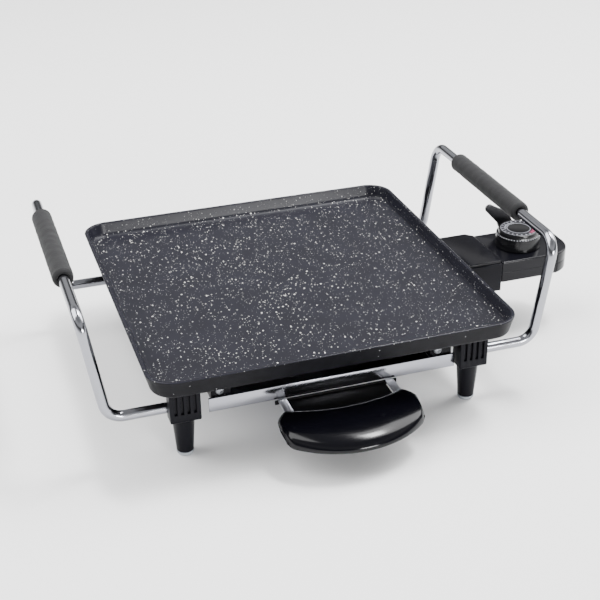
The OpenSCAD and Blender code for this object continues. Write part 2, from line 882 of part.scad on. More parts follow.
module eject_lever() {
    elbow = [-7.8, 17.4];
    tip = lever_reach * [-sin(lever_tip_angle), cos(lever_tip_angle)];
    lower_heading = atan2(elbow[1], elbow[0]);
    upper_heading = atan2(tip[1] - elbow[1], tip[0] - elbow[0]);
    inner_heading = (lower_heading + upper_heading) / 2 + 90;
    color("#18181a") translate([lever_x, lever_y + lever_t, lever_z]) rotate([90, 0, 0]) difference() {
        linear_extrude(lever_t) polygon(concat(
            arc_points([0, 0], 8, lower_heading + 90, lower_heading + 270, 16),
            arc_points(elbow, 7, lower_heading - 90, upper_heading - 90, 3),
            arc_points(tip, 4, upper_heading - 90, upper_heading + 90, 12),
            [elbow + 7 * [cos(inner_heading), sin(inner_heading)]]
        ));
        translate([0, 0, -1]) cylinder(r = lever_pin_r + running, h = 10);
    }
}

// ---------- knob ----------

module knob_shaft() {
    color("silver") translate([knob_x, 0, -15.8]) cylinder(r = shaft_r, h = 25.8);
}

module control_knob() {
    wall = 2;
    bottom = case_top + 0.4;
    recess_r = 16.6;
    bore_r = shaft_r + 0.02;
    color("#131315") translate([knob_x, 0, 0]) rotate_extrude($fn = 144)
        polygon([[bore_r, bottom + 2], [6, bottom + 2], [6, knob_shoulder_z - wall],
            [knob_skirt_r - wall - 0.4, knob_shoulder_z - wall], [knob_skirt_r - wall, bottom],
            [knob_skirt_r, bottom], [knob_skirt_r - 0.4, knob_shoulder_z - 0.6],
            [knob_skirt_r - 1, knob_shoulder_z], [knob_cap_r + 0.2, knob_shoulder_z],
            [knob_cap_r, knob_top_z - 0.8], [knob_cap_r - 0.8, knob_top_z], [recess_r, knob_top_z],
            [recess_r, knob_top_z - 0.5], [0, knob_top_z - 0.5], [0, 10], [bore_r, 10]]);
}

// Printed ring on the knob's face
module dial_scale() {
    color("#c8c8ca") translate([knob_x, 0, knob_top_z - 0.5]) difference() {
        cylinder(r = 16.4, h = 0.3);
        translate([0, 0, -1]) cylinder(r = 9.8, h = 2);
    }
}

// ---------- the assembly ----------

griddle_plate();
drain_chute();
chute_screws();
heating_element();
terminal_pins();
ceramic_bushings();
element_clamps();
clamp_screws();
probe_guide();
heat_reflector();
reflector_screws();
left_rail();
right_rail();
rail_screws();
socket_housing();
socket_lid();
socket_screws();
placed_foot(-1, -1);  // front_left_foot
placed_foot(1, -1);  // front_right_foot
placed_foot(-1, 1);  // rear_left_foot
placed_foot(1, 1);  // rear_right_foot
placed_tip(-1, -1);  // front_left_tip
placed_tip(1, -1);  // front_right_tip
placed_tip(-1, 1);  // rear_left_tip
placed_tip(1, 1);  // rear_right_tip
foot_screws();
left_handle_wire();
right_handle_wire();
left_grip();
right_grip();
drip_tray();
handle_brackets();
bracket_screws();
tray_handle();
controller_base();
controller_cover();
terminal_block();
contact_sleeves();
contact_leads();
probe_rod();
thermostat_unit();
case_screws();
cord_gland();
lever_pin();
lever_spring();
eject_lever();
knob_shaft();
control_knob();
dial_scale();
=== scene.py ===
"""Electric griddle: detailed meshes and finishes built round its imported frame."""

import math

import bmesh
import bpy
from mathutils import Matrix, Vector, noise


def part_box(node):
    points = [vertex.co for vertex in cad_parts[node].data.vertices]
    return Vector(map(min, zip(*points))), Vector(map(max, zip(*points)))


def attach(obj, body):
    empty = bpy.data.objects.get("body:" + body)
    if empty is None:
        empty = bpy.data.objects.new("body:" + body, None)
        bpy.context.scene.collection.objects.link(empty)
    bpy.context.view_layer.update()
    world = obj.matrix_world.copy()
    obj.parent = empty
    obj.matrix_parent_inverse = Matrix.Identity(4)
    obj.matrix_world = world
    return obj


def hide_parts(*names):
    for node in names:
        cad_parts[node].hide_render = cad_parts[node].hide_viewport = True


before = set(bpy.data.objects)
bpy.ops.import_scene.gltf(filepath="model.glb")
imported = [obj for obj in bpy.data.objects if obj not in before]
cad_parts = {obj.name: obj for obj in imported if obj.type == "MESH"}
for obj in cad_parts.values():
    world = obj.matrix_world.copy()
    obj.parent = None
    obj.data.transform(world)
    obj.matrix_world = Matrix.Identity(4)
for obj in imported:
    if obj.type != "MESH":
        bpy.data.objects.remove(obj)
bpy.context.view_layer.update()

bl_info = {
    "name": "Electric Griddle",
    "version": (1, 0, 0),
    "blender": (4, 5, 0),
    "location": "View3D > Sidebar > Griddle",
    "description": "Builds the visible pieces and finishes of a table-top electric griddle",
    "category": "Add Mesh",
}

MM = 0.001
KNOB_X = 222.0
SCALE_MARKS = 22


def box_mm(node):
    """Lowest and highest corner of a CAD node, in millimetres."""
    low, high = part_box(node)
    return low / MM, high / MM


# ---------------------------------------------------------------- settings


def length(name, description, millimetres):
    """A length property whose default is given in millimetres."""
    return bpy.props.FloatProperty(
        name=name, description=description, default=millimetres * MM, min=0.0, unit="LENGTH", precision=5
    )


def colour(name, description, hex_value):
    """A colour property whose default is given as an sRGB hex value."""
    return bpy.props.FloatVectorProperty(
        name=name,
        description=description,
        default=srgb(hex_value)[:3],
        subtype="COLOR",
        size=3,
        min=0.0,
        max=1.0,
    )


def srgb(hex_value):
    """Linear RGBA of an sRGB hex value such as "1a2b3c"."""
    channels = [int(hex_value[i : i + 2], 16) / 255 for i in (0, 2, 4)]
    linear = [c / 12.92 if c <= 0.04045 else ((c + 0.055) / 1.055) ** 2.4 for c in channels]
    return (*linear, 1.0)


class GriddleCoating(bpy.types.PropertyGroup):
    """Non-stick coating of the plate."""

    base: colour("Coating", "Colour of the coating between its flecks", "1b1b22")
    fleck: colour("Flecks", "Colour of the light flecks", "e2e2de")
    fleck_size: length("Fleck size", "About the radius of the large flecks; the small ones follow it", 0.72)
    spray_grain: length("Spray grain", "Spacing of the coating's fine orange peel", 0.9)


class GriddleMetal(bpy.types.PropertyGroup):
    """Bright metal parts."""

    chrome: colour("Chrome", "Colour of the handle wire's plating", "94959b")
    sheet: colour("Sheet", "Colour of the tray's bright sheet", "92939a")
    wire_sides: bpy.props.IntProperty(
        name="Wire sides",
        description="Sides of the handle wire's round section",
        default=32,
        min=12,
        max=64,
    )


class GriddlePlastic(bpy.types.PropertyGroup):
    """Moulded and foam parts."""

    moulded: colour("Moulded plastic", "Colour of the feet and the socket", "0c0c11")
    gloss: colour("Gloss plastic", "Colour of the tray's handle", "050509")
    foam: colour("Foam", "Colour of the handle grips", "0a0a0d")
    foam_cell: length("Foam cell", "Spacing of the foam's surface texture", 1.6)


class GriddleDial(bpy.types.PropertyGroup):
    """Printed ring and beads of the temperature knob."""

    bead_count: bpy.props.IntProperty(
        name="Beads", description="Beads round the knob's shoulder", default=48, min=12, max=120
    )
    print_light: colour("Scale print", "Colour of the printed scale", "7d7e86")
    print_hot: colour("Hot print", "Colour of the hot end of the scale", "7c2a4a")


def settings(group):
    """One of the scene's settings groups by its attribute name."""
    return getattr(bpy.context.scene, group)


# ---------------------------------------------------------------- meshes


def finish_mesh(name, mesh, material, sharp_degrees=35):
    """A linked object made of the mesh, smooth except at edges sharper than the angle."""
    mesh.materials.clear()
    mesh.materials.append(material)
    mesh.shade_smooth()
    mesh.set_sharp_from_angle(angle=math.radians(sharp_degrees))
    piece = bpy.data.objects.new(name, mesh)
    bpy.context.scene.collection.objects.link(piece)
    return piece


def mesh_from(name, bm, material, sharp_degrees=35):
    """A finished object from a bmesh, which is freed."""
    mesh = bpy.data.meshes.new(name)
    bm.to_mesh(mesh)
    bm.free()
    return finish_mesh(name, mesh, material, sharp_degrees)


def place(piece, body, slot, *nodes):
    """Puts a piece on its body in the stead of CAD nodes; the slot is not used."""
    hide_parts(*nodes)
    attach(piece, body)
    return piece


def rounded_outline(corners, inset=0.0, steps=6):
    """Points round a polygon whose corners are (x, y, radius), drawn in by inset, counter-clockwise."""
    count = len(corners)
    points = []
    for i in range(count):
        here = Vector(corners[i][:2])
        before = (here - Vector(corners[i - 1][:2])).normalized()
        after = (Vector(corners[(i + 1) % count][:2]) - here).normalized()
        turn = before.x * after.y - before.y * after.x
        half = math.atan2(turn, before.dot(after)) / 2
        inward = (Vector((-before.y, before.x)) + Vector((-after.y, after.x))).normalized()
        vertex = here + inward * (inset / math.cos(half))
        radius = max(corners[i][2] - inset if turn > 0 else corners[i][2] + inset, 0.02)
        centre = vertex + inward * (radius / math.cos(half)) * (1 if turn > 0 else -1)
        spoke = (vertex - centre).normalized() * radius
        for step in range(steps + 1):
            angle = -half + 2 * half * step / steps
            points.append(centre + Matrix.Rotation(angle, 2) @ spoke)
    return points


def skin(bm, loops, close_low=True, close_high=True):
    """Faces between loops of the same count, with flat caps. Loops are lists of mm points."""
    rows = [[bm.verts.new(Vector(p) * MM) for p in loop] for loop in loops]
    count = len(rows[0])
    for low, high in zip(rows, rows[1:]):
        for i in range(count):
            j = (i + 1) % count
            bm.faces.new((low[i], low[j], high[j], high[i]))
    if close_low:
        bm.faces.new(list(reversed(rows[0])))
    if close_high:
        bm.faces.new(rows[-1])
    return rows


def fill_between(bm, *rows):
    """Fills the flat area between an outer row and any rows inside it."""
    edges = []
    for row in rows:
        for a, b in zip(row, row[1:] + row[:1]):
            edges.append(bm.edges.get((a, b)) or bm.edges.new((a, b)))
    bmesh.ops.triangle_fill(bm, use_beauty=True, use_dissolve=False, edges=edges)


def tidy(bm, distance=0.002):
    """Merges doubled points and turns every face outwards."""
    bmesh.ops.remove_doubles(bm, verts=bm.verts, dist=distance * MM)
    bm.normal_update()
    bmesh.ops.recalc_face_normals(bm, faces=bm.faces)
    return bm


def round_edges(low, high, low_r, high_r, steps=4):
    """Stations (inset, z) of an upright wall with rounded lower and upper edges."""
    stations = []
    for step in range(steps + 1):
        a = math.pi / 2 * step / steps
        stations.append((low_r * (1 - math.sin(a)), low + low_r * (1 - math.cos(a))))
    for step in range(steps + 1):
        a = math.pi / 2 * step / steps
        stations.append((high_r * (1 - math.cos(a)), high - high_r * (1 - math.sin(a))))
    return stations


def moulding(bm, corners, stations, steps=6):
    """A closed solid whose plan is the rounded outline, drawn in at each station."""
    loops = [[(p.x, p.y, z) for p in rounded_outline(corners, inset, steps)] for inset, z in stations]
    return skin(bm, loops)


def lathe(bm, profile, centre, axis="Z", steps=64):
    """A solid of revolution from a (radius, height) profile that starts and ends on the axis."""
    turn = {
        "Z": Matrix.Identity(3),
        "X": Matrix.Rotation(math.pi / 2, 3, "Y"),
        "Y": Matrix.Rotation(-math.pi / 2, 3, "X"),
    }[axis]
    loops = []
    for radius, height in profile:
        loop = []
        for step in range(steps):
            a = 2 * math.pi * step / steps
            local = Vector((radius * math.cos(a), radius * math.sin(a), height))
            loop.append(Vector(centre) + turn @ local)
        loops.append(loop)
    return skin(bm, loops, close_low=False, close_high=False)


# corners of the CAD mesh closer than this are one corner, in millimetres
MERGE_MM = 0.003


def refined_copy(node, name, material, bevel=0.4, segments=2, sharp_degrees=32, longer_than=6.0):
    """A merged copy of a CAD node whose long sharp edges are rounded by a bevel in millimetres."""
    bm = bmesh.new()
    bm.from_mesh(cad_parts[node].data)
    bmesh.ops.remove_doubles(bm, verts=bm.verts, dist=MERGE_MM * MM)
    bmesh.ops.dissolve_limit(bm, angle_limit=math.radians(0.6), verts=bm.verts, edges=bm.edges)
    weight = bm.edges.layers.float.new("bevel_weight_edge")
    for edge in bm.edges:
        folded = len(edge.link_faces) == 2 and edge.calc_face_angle(0) > math.radians(sharp_degrees)
        edge[weight] = 1.0 if folded and edge.calc_length() > longer_than * MM else 0.0
    mesh = bpy.data.meshes.new(name)
    bm.to_mesh(mesh)
    bm.free()
    piece = finish_mesh(name, mesh, material, sharp_degrees)
    if bevel > 0:
        rounding = piece.modifiers.new("edge_rounding", "BEVEL")
        rounding.limit_method = "WEIGHT"
        rounding.width = bevel * MM
        rounding.segments = segments
        rounding.use_clamp_overlap = False
        bake_modifiers(piece)
        piece.data.shade_smooth()
        piece.data.set_sharp_from_angle(angle=math.radians(sharp_degrees))
    return piece


def bake_modifiers(piece):
    """Replaces a piece's mesh by its evaluated one and drops its modifiers."""
    graph = bpy.context.evaluated_depsgraph_get()
    mesh = bpy.data.meshes.new_from_object(piece.evaluated_get(graph), depsgraph=graph)
    mesh.name = piece.name
    piece.modifiers.clear()
    piece.data = mesh
    return piece


# ---------------------------------------------------------------- geometry nodes


def add(tree, kind, links=None, **values):
    """Adds a node, sets its attributes, and sets or links its inputs by name or index."""
    node = tree.nodes.new(kind)
    for key, value in values.items():
        setattr(node, key, value)
    for key, value in (links or {}).items():
        socket = node.inputs[key]
        if isinstance(value, bpy.types.NodeSocket):
            tree.links.new(value, socket)
        else:
            socket.default_value = value
    return node


def new_tree(name, *inputs):
    """A geometry node tree with a Geometry input and output and further named inputs."""
    tree = bpy.data.node_groups.new(name, "GeometryNodeTree")
    tree.interface.new_socket("Geometry", in_out="INPUT", socket_type="NodeSocketGeometry")
    for label, kind in inputs:
        tree.interface.new_socket(label, in_out="INPUT", socket_type=kind)
    tree.interface.new_socket("Geometry", in_out="OUTPUT", socket_type="NodeSocketGeometry")
    return tree, add(tree, "NodeGroupInput")


def end_tree(tree, geometry, material_socket):
    """Ends a tree in Realize Instances and Set Material."""
    real = add(tree, "GeometryNodeRealizeInstances", {"Geometry": geometry})
    coated = add(
        tree, "GeometryNodeSetMaterial", {"Geometry": real.outputs[0], "Material": material_socket}
    )
    add(tree, "NodeGroupOutput", {"Geometry": coated.outputs[0]})
    return tree


def copies_tree():
    """Stands copies of one object on points, each turned to the point's facing."""
    tree, given = new_tree(
        "copies_on_points", ("Copied", "NodeSocketObject"), ("Material", "NodeSocketMaterial")
    )
    copied = add(tree, "GeometryNodeObjectInfo", {"Object": given.outputs["Copied"]})
    facing = add(tree, "GeometryNodeInputNamedAttribute", {"Name": "facing"}, data_type="FLOAT_VECTOR")
    turn = add(tree, "FunctionNodeAlignRotationToVector", {"Vector": facing.outputs[0]}, axis="Z")
    points = add(tree, "GeometryNodeMeshToPoints", {"Mesh": given.outputs["Geometry"]})
    stood = add(
        tree,
        "GeometryNodeInstanceOnPoints",
        {"Points": points.outputs[0], "Instance": copied.outputs["Geometry"], "Rotation": turn.outputs[0]},
    )
    return end_tree(tree, stood.outputs[0], given.outputs["Material"])


def wire_tree():
    """Sweeps a round section along the input's edges."""
    tree, given = new_tree(
        "swept_wire",
        ("Radius", "NodeSocketFloat"),
        ("Sides", "NodeSocketInt"),
        ("Material", "NodeSocketMaterial"),
    )
    path = add(tree, "GeometryNodeMeshToCurve", {"Mesh": given.outputs["Geometry"]})
    section = add(
        tree,
        "GeometryNodeCurvePrimitiveCircle",
        {"Resolution": given.outputs["Sides"], "Radius": given.outputs["Radius"]},
    )
    swept = add(
        tree,
        "GeometryNodeCurveToMesh",
        {"Curve": path.outputs[0], "Profile Curve": section.outputs[0], "Fill Caps": True},
    )
    smooth = add(tree, "GeometryNodeSetShadeSmooth", {"Geometry": swept.outputs[0]})
    return end_tree(tree, smooth.outputs[0], given.outputs["Material"])


def set_input(modifier, label, value):
    """Sets a geometry nodes modifier's input by its socket's identifier."""
    for item in modifier.node_group.interface.items_tree:
        if item.item_type == "SOCKET" and item.in_out == "INPUT" and item.name == label:
            modifier[item.identifier] = value
            return
    raise KeyError(label)


def grown(name, mesh, tree, sharp_degrees=35, **inputs):
    """The plain mesh object that a node tree makes from a mesh."""
    seed = bpy.data.objects.new(name, mesh)
    bpy.context.scene.collection.objects.link(seed)
    modifier = seed.modifiers.new("grow", "NODES")
    modifier.node_group = tree
    for label, value in inputs.items():
        set_input(modifier, label, value)
    bake_modifiers(seed)
    seed.data.shade_smooth()
    seed.data.set_sharp_from_angle(angle=math.radians(sharp_degrees))
    return seed


def points_mesh(name, places):
    """A mesh of loose points from (position mm, facing) pairs."""
    mesh = bpy.data.meshes.new(name)
    mesh.from_pydata([Vector(p) * MM for p, _ in places], [], [])
    facing = mesh.attributes.new("facing", "FLOAT_VECTOR", "POINT")
    for i, (_, direction) in enumerate(places):
        facing.data[i].vector = direction
    return mesh


def path_mesh(name, points):
    """A mesh of one line of edges through mm points."""
    mesh = bpy.data.meshes.new(name)
    mesh.from_pydata([Vector(p) * MM for p in points], [(i, i + 1) for i in range(len(points) - 1)], [])
    return mesh


# ---------------------------------------------------------------- materials


def new_material(name):
    """An empty node material with a Principled shader on its output."""
    material = bpy.data.materials.new(name)
    material.use_nodes = True
    tree = material.node_tree
    tree.nodes.clear()
    shader = add(tree, "ShaderNodeBsdfPrincipled")
    add(tree, "ShaderNodeOutputMaterial", {"Surface": shader.outputs[0]})
    return material, tree, shader


def object_space(tree):
    """Object coordinates socket."""
    return add(tree, "ShaderNodeTexCoord").outputs["Object"]


def per_metre(millimetres):
    """Texture scale whose features are about that many millimetres apart."""
    return 1.0 / (millimetres * MM)


def ramp(tree, factor, stops):
    """A colour ramp with (position, colour) stops."""
    node = add(tree, "ShaderNodeValToRGB", {"Fac": factor})
    elements = node.color_ramp.elements
    while len(elements) < len(stops):
        elements.new(0.5)
    for element, (position, shade) in zip(elements, stops):
        element.position = position
        element.color = shade
    return node.outputs["Color"]


def spread(tree, factor, low, high):
    """Maps a 0 to 1 socket to a range."""
    ranged = add(tree, "ShaderNodeMapRange", {"Value": factor, "To Min": low, "To Max": high})
    return ranged.outputs["Result"]


def blotches(tree, where, millimetres, detail=4.0):
    """Noise factor whose blotches are about that wide."""
    return add(
        tree, "ShaderNodeTexNoise", {"Vector": where, "Scale": per_metre(millimetres), "Detail": detail}
    ).outputs["Fac"]


def bump(tree, shader, height, strength, distance_mm):
    """Drives a shader's normal by a height socket."""
    node = add(
        tree, "ShaderNodeBump", {"Height": height, "Strength": strength, "Distance": distance_mm * MM}
    )
    tree.links.new(node.outputs[0], shader.inputs["Normal"])


def colour_output(node):
    """Colour output of a Mix node."""
    return [socket for socket in node.outputs if socket.type == "RGBA"][0]


def flecks(tree, where, spacing_mm, size_mm, share, warp_mm):
    """A mask of irregular flecks of up to size_mm radius, in that share of a jittered grid's cells."""
    wobble = add(
        tree, "ShaderNodeTexNoise", {"Vector": where, "Scale": per_metre(size_mm * 2.2), "Detail": 1.0}
    )
    centred = add(
        tree, "ShaderNodeVectorMath", {0: wobble.outputs["Color"], 1: (0.5, 0.5, 0.5)}, operation="SUBTRACT"
    )
    shift = add(
        tree, "ShaderNodeVectorMath", {0: centred.outputs[0], "Scale": warp_mm * MM * 2}, operation="SCALE"
    )
    moved = add(tree, "ShaderNodeVectorMath", {0: where, 1: shift.outputs[0]}, operation="ADD")
    cells = add(
        tree,
        "ShaderNodeTexVoronoi",
        {"Vector": moved.outputs[0], "Scale": per_metre(spacing_mm)},
        feature="F1",
    )
    pick = add(tree, "ShaderNodeSeparateColor", {0: cells.outputs["Color"]})
    reach = add(
        tree,
        "ShaderNodeMapRange",
        {
            "Value": pick.outputs["Red"],
            "From Min": 1 - share,
            "From Max": 1.0,
            "To Min": 0.0,
            "To Max": size_mm / spacing_mm,
        },
    )
    inside = add(
        tree, "ShaderNodeMath", {0: reach.outputs[0], 1: cells.outputs["Distance"]}, operation="SUBTRACT"
    )
    return add(
        tree,
        "ShaderNodeMapRange",
        {"Value": inside.outputs[0], "From Min": 0.0, "From Max": 0.12 * size_mm / spacing_mm},
    ).outputs[0]


def stone_effect_coating():
    """Sprayed non-stick coating with stone-effect flecks: a dark satin film with a fine orange peel.

    The flecks fade and the film gets glossier from the cooking surface up the wall.
    """
    look = settings("griddle_coating")
    material, tree, shader = new_material("stone_effect_nonstick_coating")
    where = object_space(tree)
    size = look.fleck_size / MM
    large = flecks(tree, where, 3.9, 1.1 * size, 0.5, 0.22)
    small = flecks(tree, where, 2.2, 0.74 * size, 0.6, 0.16)
    dust = flecks(tree, where, 1.3, 0.44 * size, 0.5, 0.09)
    faint = add(tree, "ShaderNodeMath", {0: dust, 1: 0.55}, operation="MULTIPLY")
    both = add(tree, "ShaderNodeMath", {0: large, 1: small}, operation="MAXIMUM")
    every = add(tree, "ShaderNodeMath", {0: both.outputs[0], 1: faint.outputs[0]}, operation="MAXIMUM")
    height = add(tree, "ShaderNodeSeparateXYZ", {0: where})
    on_floor = add(
        tree,
        "ShaderNodeMapRange",
        {
            "Value": height.outputs["Z"],
            "From Min": 2.0 * MM,
            "From Max": 5.0 * MM,
            "To Min": 1.0,
            "To Max": 0.3,
        },
    )
    shown = add(tree, "ShaderNodeMath", {0: every.outputs[0], 1: on_floor.outputs[0]}, operation="MULTIPLY")
    mottled = ramp(
        tree,
        blotches(tree, where, 30),
        [(0.3, (*[c * 0.85 for c in look.base], 1)), (0.7, (*[c * 1.15 for c in look.base], 1))],
    )
    mixed = add(
        tree,
        "ShaderNodeMix",
        {"Factor": shown.outputs[0], "A": mottled, "B": (*look.fleck, 1)},
        data_type="RGBA",
    )
    tree.links.new(colour_output(mixed), shader.inputs["Base Color"])
    uneven = spread(tree, blotches(tree, where, 12), -0.05, 0.05)
    gloss = add(
        tree,
        "ShaderNodeMapRange",
        {
            "Value": height.outputs["Z"],
            "From Min": 1.0 * MM,
            "From Max": 5.0 * MM,
            "To Min": 0.4,
            "To Max": 0.24,
        },
    )
    rough = add(tree, "ShaderNodeMath", {0: gloss.outputs[0], 1: uneven}, operation="ADD")
    tree.links.new(rough.outputs[0], shader.inputs["Roughness"])
    shader.inputs["IOR"].default_value = 1.27
    peel = blotches(tree, where, look.spray_grain / MM, 2.0)
    bump(tree, shader, peel, 0.35, 0.05)
    return material


def casting_paint_and_painted_shade():
    """Thin dark paint over the rough casting, under the plate and on its outer walls, nearly matt; its dark
    base is also painted shade on the outer walls.
    """
    material, tree, shader = new_material("painted_casting")
    where = object_space(tree)
    # base darker than the coating: dark paint, and painted shade on the plate's outer walls
    shade = ramp(tree, blotches(tree, where, 9), [(0.3, srgb("08080b")), (0.7, srgb("0f0f13"))])
    speck = flecks(tree, where, 4.0, 0.5, 0.35, 0.3)
    mixed = add(
        tree, "ShaderNodeMix", {"Factor": speck, "A": shade, "B": srgb("8f8f92")}, data_type="RGBA"
    )
    tree.links.new(colour_output(mixed), shader.inputs["Base Color"])
    tree.links.new(spread(tree, blotches(tree, where, 10), 0.38, 0.5), shader.inputs["Roughness"])
    shader.inputs["IOR"].default_value = 1.18
    bump(tree, shader, blotches(tree, where, 0.8), 0.5, 0.08)
    return material


def chrome_plate():
    """Bright chrome on bent steel wire: mirror-like, with a faint draw along the wire."""
    material, tree, shader = new_material("chrome_plated_wire")
    where = object_space(tree)
    shader.inputs["Base Color"].default_value = (*settings("griddle_metal").chrome, 1)
    shader.inputs["Metallic"].default_value = 1.0
    tree.links.new(spread(tree, blotches(tree, where, 5), 0.12, 0.2), shader.inputs["Roughness"])
    bump(tree, shader, blotches(tree, where, 14, 1.0), 0.12, 0.05)
    return material


def sheet_metal(name, tint, rough_low, rough_high):
    """Rolled metal: fine lines along X seen as a streaked gloss, over a faint mottle."""
    material, tree, shader = new_material(name)
    where = object_space(tree)
    rolled = add(tree, "ShaderNodeMapping", {"Vector": where, "Scale": (0.03, 1.0, 1.0)})
    lines = blotches(tree, rolled.outputs[0], 0.6, 3.0)
    shader.inputs["Base Color"].default_value = tint
    shader.inputs["Metallic"].default_value = 1.0
    tree.links.new(spread(tree, lines, rough_low, rough_high), shader.inputs["Roughness"])
    bump(tree, shader, blotches(tree, where, 2.4, 3.0), 0.22, 0.05)
    return material


def moulded_plastic(name, tint, rough_low, rough_high, grain_mm, grain_strength, ior=1.18):
    """Injection moulded plastic: even colour, a fine spark-eroded grain and slight sink marks."""
    material, tree, shader = new_material(name)
    where = object_space(tree)
    shade = ramp(
        tree,
        blotches(tree, where, 14),
        [(0.3, (*[c * 0.9 for c in tint[:3]], 1)), (0.7, (*[min(1, c * 1.12) for c in tint[:3]], 1))],
    )
    tree.links.new(shade, shader.inputs["Base Color"])
    uneven = spread(tree, blotches(tree, where, 8), rough_low, rough_high)
    tree.links.new(uneven, shader.inputs["Roughness"])
    shader.inputs["IOR"].default_value = ior
    bump(tree, shader, blotches(tree, where, grain_mm, 2.0), grain_strength, 0.04)
    return material


def foam_rubber():
    """Closed-cell foam sleeve: matt, slightly pitted, with a dusty sheen on its edges."""
    look = settings("griddle_plastic")
    material, tree, shader = new_material("closed_cell_foam")
    where = object_space(tree)
    cells = add(
        tree,
        "ShaderNodeTexVoronoi",
        {"Vector": where, "Scale": per_metre(look.foam_cell / MM)},
        feature="F1",
    )
    soft = blotches(tree, where, 0.7, 3.0)
    shade = ramp(
        tree,
        soft,
        [(0.3, (*[c * 0.75 for c in look.foam], 1)), (0.75, (*[c * 1.35 for c in look.foam], 1))],
    )
    tree.links.new(shade, shader.inputs["Base Color"])
    shader.inputs["Roughness"].default_value = 0.86
    shader.inputs["Sheen Weight"].default_value = 0.04
    shader.inputs["Sheen Roughness"].default_value = 0.5
    both = add(tree, "ShaderNodeMath", {0: cells.outputs["Distance"], 1: soft}, operation="ADD")
    bump(tree, shader, both.outputs[0], 0.55, 0.12)
    return material


def foot_tip_rubber():
    """Translucent grey thermoplastic rubber: light passes a little way in, and it looks milky."""
    material, tree, shader = new_material("milky_grey_rubber")
    where = object_space(tree)
    shade = ramp(tree, blotches(tree, where, 5), [(0.3, srgb("8b9096")), (0.7, srgb("a5aab0"))])
    tree.links.new(shade, shader.inputs["Base Color"])
    shader.inputs["Roughness"].default_value = 0.42
    shader.inputs["Subsurface Weight"].default_value = 0.35
    shader.inputs["Subsurface Radius"].default_value = (0.004, 0.004, 0.004)
    shader.inputs["Subsurface Scale"].default_value = 1.0
    bump(tree, shader, blotches(tree, where, 1.2), 0.15, 0.04)
    return material


def printed_scale():
    """Screen-printed ring on the knob: a pale disc with dark ticks, a rim line and a hot sector."""
    look = settings("griddle_dial")
    material, tree, shader = new_material("screen_printed_scale")
    local = add(
        tree,
        "ShaderNodeVectorMath",
        {0: object_space(tree), 1: (KNOB_X * MM, 0, 0)},
        operation="SUBTRACT",
    )
    flat = add(tree, "ShaderNodeVectorMath", {0: local.outputs[0], 1: (1, 1, 0)}, operation="MULTIPLY")
    radius = add(tree, "ShaderNodeVectorMath", {0: flat.outputs[0]}, operation="LENGTH").outputs["Value"]
    parts = add(tree, "ShaderNodeSeparateXYZ", {0: flat.outputs[0]})
    angle = add(tree, "ShaderNodeMath", {0: parts.outputs["Y"], 1: parts.outputs["X"]}, operation="ARCTAN2")

    def band(value, centre, half, soft):
        """One where the value is within half of the centre, fading over soft."""
        off = add(tree, "ShaderNodeMath", {0: value, 1: centre}, operation="SUBTRACT")
        size = add(tree, "ShaderNodeMath", {0: off.outputs[0]}, operation="ABSOLUTE")
        return add(
            tree,
            "ShaderNodeMapRange",
            {
                "Value": size.outputs[0],
                "From Min": half - soft,
                "From Max": half + soft,
                "To Min": 1.0,
                "To Max": 0.0,
            },
        ).outputs[0]

    def both(first, second):
        """Product of two masks."""
        return add(tree, "ShaderNodeMath", {0: first, 1: second}, operation="MULTIPLY").outputs[0]

    def either(first, second):
        """Larger of two masks."""
        return add(tree, "ShaderNodeMath", {0: first, 1: second}, operation="MAXIMUM").outputs[0]

    turns = add(
        tree, "ShaderNodeMath", {0: angle.outputs[0], 1: SCALE_MARKS / (2 * math.pi)}, operation="MULTIPLY"
    )
    saw = add(tree, "ShaderNodeMath", {0: turns.outputs[0]}, operation="FRACT").outputs[0]
    rays = both(band(saw, 0.5, 0.13, 0.04), band(radius, 14.4 * MM, 1.1 * MM, 0.1 * MM))
    inner_line = band(radius, 10.5 * MM, 0.35 * MM, 0.1 * MM)
    outer_line = band(radius, 16.0 * MM, 0.25 * MM, 0.1 * MM)
    broad = both(band(radius, 12.2 * MM, 0.6 * MM, 0.15 * MM), band(angle.outputs[0], 2.2, 0.75, 0.05))
    light = either(either(rays, inner_line), either(outer_line, broad))
    worn = spread(tree, blotches(tree, object_space(tree), 1.5), 0.65, 1.0)
    hot = both(band(radius, 13.6 * MM, 1.6 * MM, 0.2 * MM), band(angle.outputs[0], -0.55, 0.6, 0.08))
    lit = add(
        tree,
        "ShaderNodeMix",
        {"Factor": both(light, worn), "A": srgb("25252a"), "B": (*look.print_light, 1)},
        data_type="RGBA",
    )
    tinted = add(
        tree,
        "ShaderNodeMix",
        {"Factor": hot, "A": colour_output(lit), "B": (*look.print_hot, 1)},
        data_type="RGBA",
    )
    tree.links.new(colour_output(tinted), shader.inputs["Base Color"])
    tree.links.new(spread(tree, light, 0.25, 0.45), shader.inputs["Roughness"])
    bump(tree, shader, light, 0.2, 0.03)
    return material


